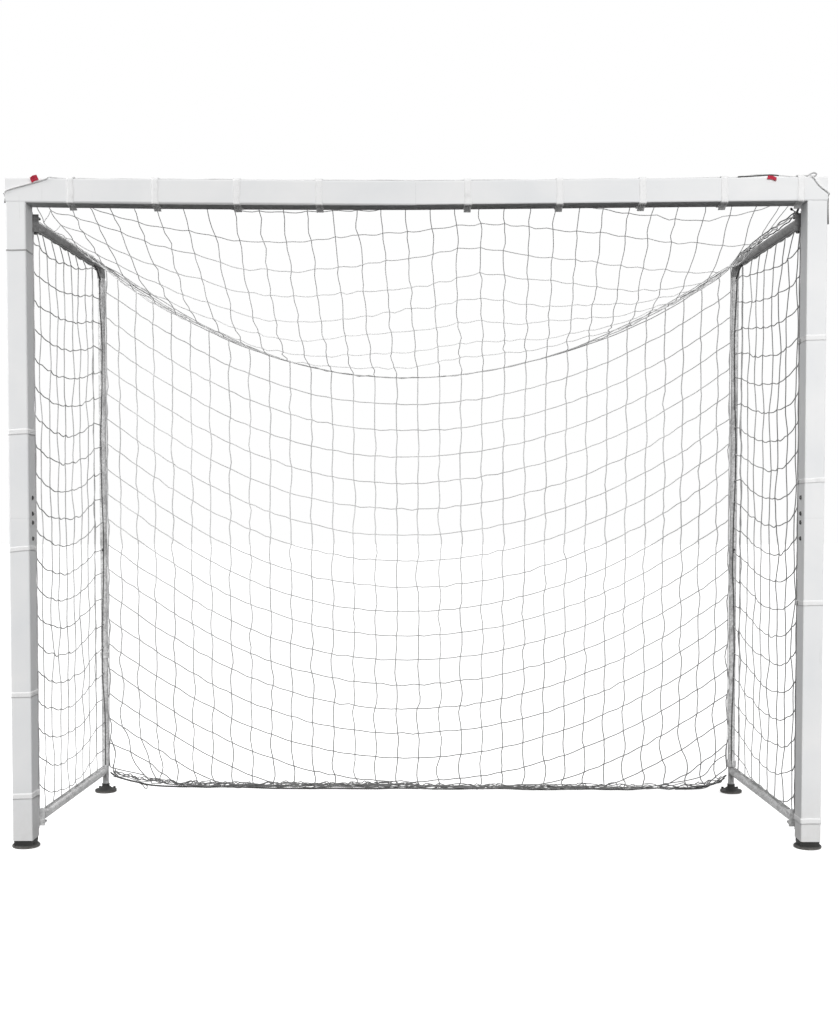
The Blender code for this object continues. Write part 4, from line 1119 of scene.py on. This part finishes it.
def make_post_straps():
    """Straps that hold the upright edge of the side nets behind the posts."""
    axes = ((1, 0, 0), (0, 1, 0), (0, 0, 1))
    for side, sign in SIDES.items():
        left, right = sorted((sign * (HALF_WIDTH - POST_WIDTH), sign * HALF_WIDTH))
        corners = [(left, FRONT_Y), (right, FRONT_Y), (right, REAR_Y + 0.004), (left, REAR_Y + 0.008)]
        for number, (z, width, askew) in enumerate(POST_STRAPS[side], 1):
            name, seed = f"post_strap_{side}_{number}", 20 + 7 * number + sign
            # the highest strap on the left post is thin and grey: its grey is painted shade for a strap edge's
            # shadow line
            finish = STRAP_PAINTED_SHADE if (side, number) == ("left", 1) else STRAP_WHITE
            # the ground tube folds up against the lowest straps, so their ends lie on the outer side
            start = 0.28 if number == len(POST_STRAPS[side]) else 0.62
            strap(name, corners, (0, 0, z), width, finish, axes, 1.18, start, 0.003, seed, askew)


def make_front_edges():
    """The upright edge cord of each side net, behind the post, caught by the straps."""
    for side, sign in SIDES.items():
        line = [(sign * FRONT_EDGE_X, REAR_Y + 0.0048, z) for z in np.linspace(1.925, 0.045, 44)]
        line = wander(line, 0.0012, 60 + sign)
        line[:, 1] = np.maximum(line[:, 1], REAR_Y + 0.0034)
        rope_piece(f"post_border_{side}", [(line, 0.0026, 0.014)], ROPE_GREY, "front_frame")


def make_tabs():
    """Short woven tabs, curling off the rope."""
    for side, (spot, width, height, tilt, curl, lean) in TABS.items():
        bm, uv = flat_strip(10, 12, 0.5)
        flat = {v.index: (v.co.x * width, v.co.y * height) for v in bm.verts}
        turn = Matrix.Rotation(math.radians(tilt), 4, "Y")
        for vertex in bm.verts:
            x, up = vertex.co.x, vertex.co.y
            bend = curl * (up + 0.5) ** 2 + 0.0010 * math.sin(7 * x + 3 * up)
            vertex.co = turn @ Vector((x * width, -bend + lean * up, up * height + 0.0008 * math.cos(6 * x)))
        bmesh.ops.translate(bm, verts=bm.verts, vec=spot)
        obj = woven_piece(f"red_tab_{side}", bm, uv, flat, RED, 0.0011)
        obj.modifiers["thickness"].offset = 0
        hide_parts(f"corner_tab_{side}")
        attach(obj, "front_frame")


dress_rigid()
back_grid = make_back_net()
make_roof_net(back_grid)
make_side_nets()
make_rear_rope()
make_ground_rope()
make_border_rope()
make_lacing()
make_front_edges()
make_bar_straps()
make_post_straps()
make_tabs()


# ======== camera, light and floor ========


PHOTO_HEIGHT = 1024  # pixels
FOCAL_LENGTH = 1370.55  # pixels of the photograph
SENSOR = 36.0
# each lamp's kind, place, aim, power, and its angle or size
LAMPS = {
    "front_light": ("SUN", (0.9, -5.0, 2.9), (0, 0, 0.9), 1.57, 0.35),
    "back_light": ("SUN", (0.8, 5.0, 3.4), (0, 0, 0.9), 0.6, 0.35),
    "right_light": ("AREA", (2.0, -3.4, 2.1), (1.25, 0, 0.7), 33.0, 1.2),
    "left_fill": ("AREA", (-3.4, -0.62, 2.3), (1.2, 0, 0.9), 66.0, 1.6),
}


def make_camera():
    data = bpy.data.cameras.new("photo_view")
    data.sensor_width = SENSOR
    data.lens = FOCAL_LENGTH * SENSOR / PHOTO_HEIGHT
    data.shift_y = 43.4 / PHOTO_HEIGHT
    data.clip_start, data.clip_end = 0.05, 60
    camera = bpy.data.objects.new("photo_view", data)
    scene.collection.objects.link(camera)
    camera.location = (0.036, FRONT_Y - 4.098, 1.0457)
    camera.rotation_euler = (math.pi / 2 - 0.0383, 0.0003, 0.0065)
    scene.camera = camera


def make_light():
    for name, (kind, spot, aim, power, size) in LAMPS.items():
        data = bpy.data.lights.new(name, kind)
        data.energy = power
        if kind == "SUN":
            data.angle = size
        else:
            data.size = size
        lamp = bpy.data.objects.new(name, data)
        scene.collection.objects.link(lamp)
        lamp.visible_camera = False
        lamp.location = spot
        lamp.rotation_euler = (Vector(aim) - Vector(spot)).to_track_quat("-Z", "Y").to_euler()


def seen_or_not(tree, unseen, seen, output):
    """One shader for what the camera, a mirror or a glass sees, and another for the light it gives."""
    path = add_node(tree, "LightPath").outputs
    first = add_node(tree, "Math", {0: path["Is Camera Ray"], 1: path["Is Glossy Ray"]}, operation="MAXIMUM")
    second = {0: first.outputs[0], 1: path["Is Transmission Ray"]}
    either = add_node(tree, "Math", second, operation="MAXIMUM")
    mix = add_node(tree, "MixShader", {0: either.outputs[0], 1: unseen.outputs[0], 2: seen.outputs[0]})
    add_node(tree, output, {0: mix.outputs[0]})


def make_world():
    world = bpy.data.worlds.new("studio")
    scene.world = world
    world.use_nodes = True
    tree = world.node_tree
    tree.nodes.clear()
    up = add_node(tree, "SeparateXYZ", {0: add_node(tree, "TexCoord").outputs["Generated"]}).outputs["Z"]
    fade = {"Value": up, "From Min": -0.15, "From Max": 0.35, "To Min": 0.05, "To Max": 0.62}
    sky = add_node(tree, "Background", {"Strength": add_node(tree, "MapRange", fade).outputs["Result"]})
    white = add_node(tree, "Background", {"Color": grey(1)})
    seen_or_not(tree, sky, white, "OutputWorld")


def make_floor():
    made = bpy.data.materials.new("pale_floor")
    made.use_nodes = True
    tree = made.node_tree
    tree.nodes.clear()
    dull = add_node(tree, "BsdfDiffuse", {"Color": grey(0.05)})
    pale = add_node(tree, "BsdfDiffuse", {"Color": grey(0.90)})
    glow = add_node(tree, "Emission", {"Strength": 0.55})
    both = add_node(tree, "AddShader", {0: pale.outputs[0], 1: glow.outputs[0]})
    seen_or_not(tree, dull, both, "OutputMaterial")
    bm = bmesh.new()
    bmesh.ops.create_grid(bm, x_segments=2, y_segments=2, size=30.0)
    bmesh.ops.translate(bm, verts=bm.verts, vec=(0, 0, -0.0006))
    finished("floor", bm, made)


make_camera()
make_light()
make_world()
make_floor()
scene.view_settings.view_transform = "Standard"
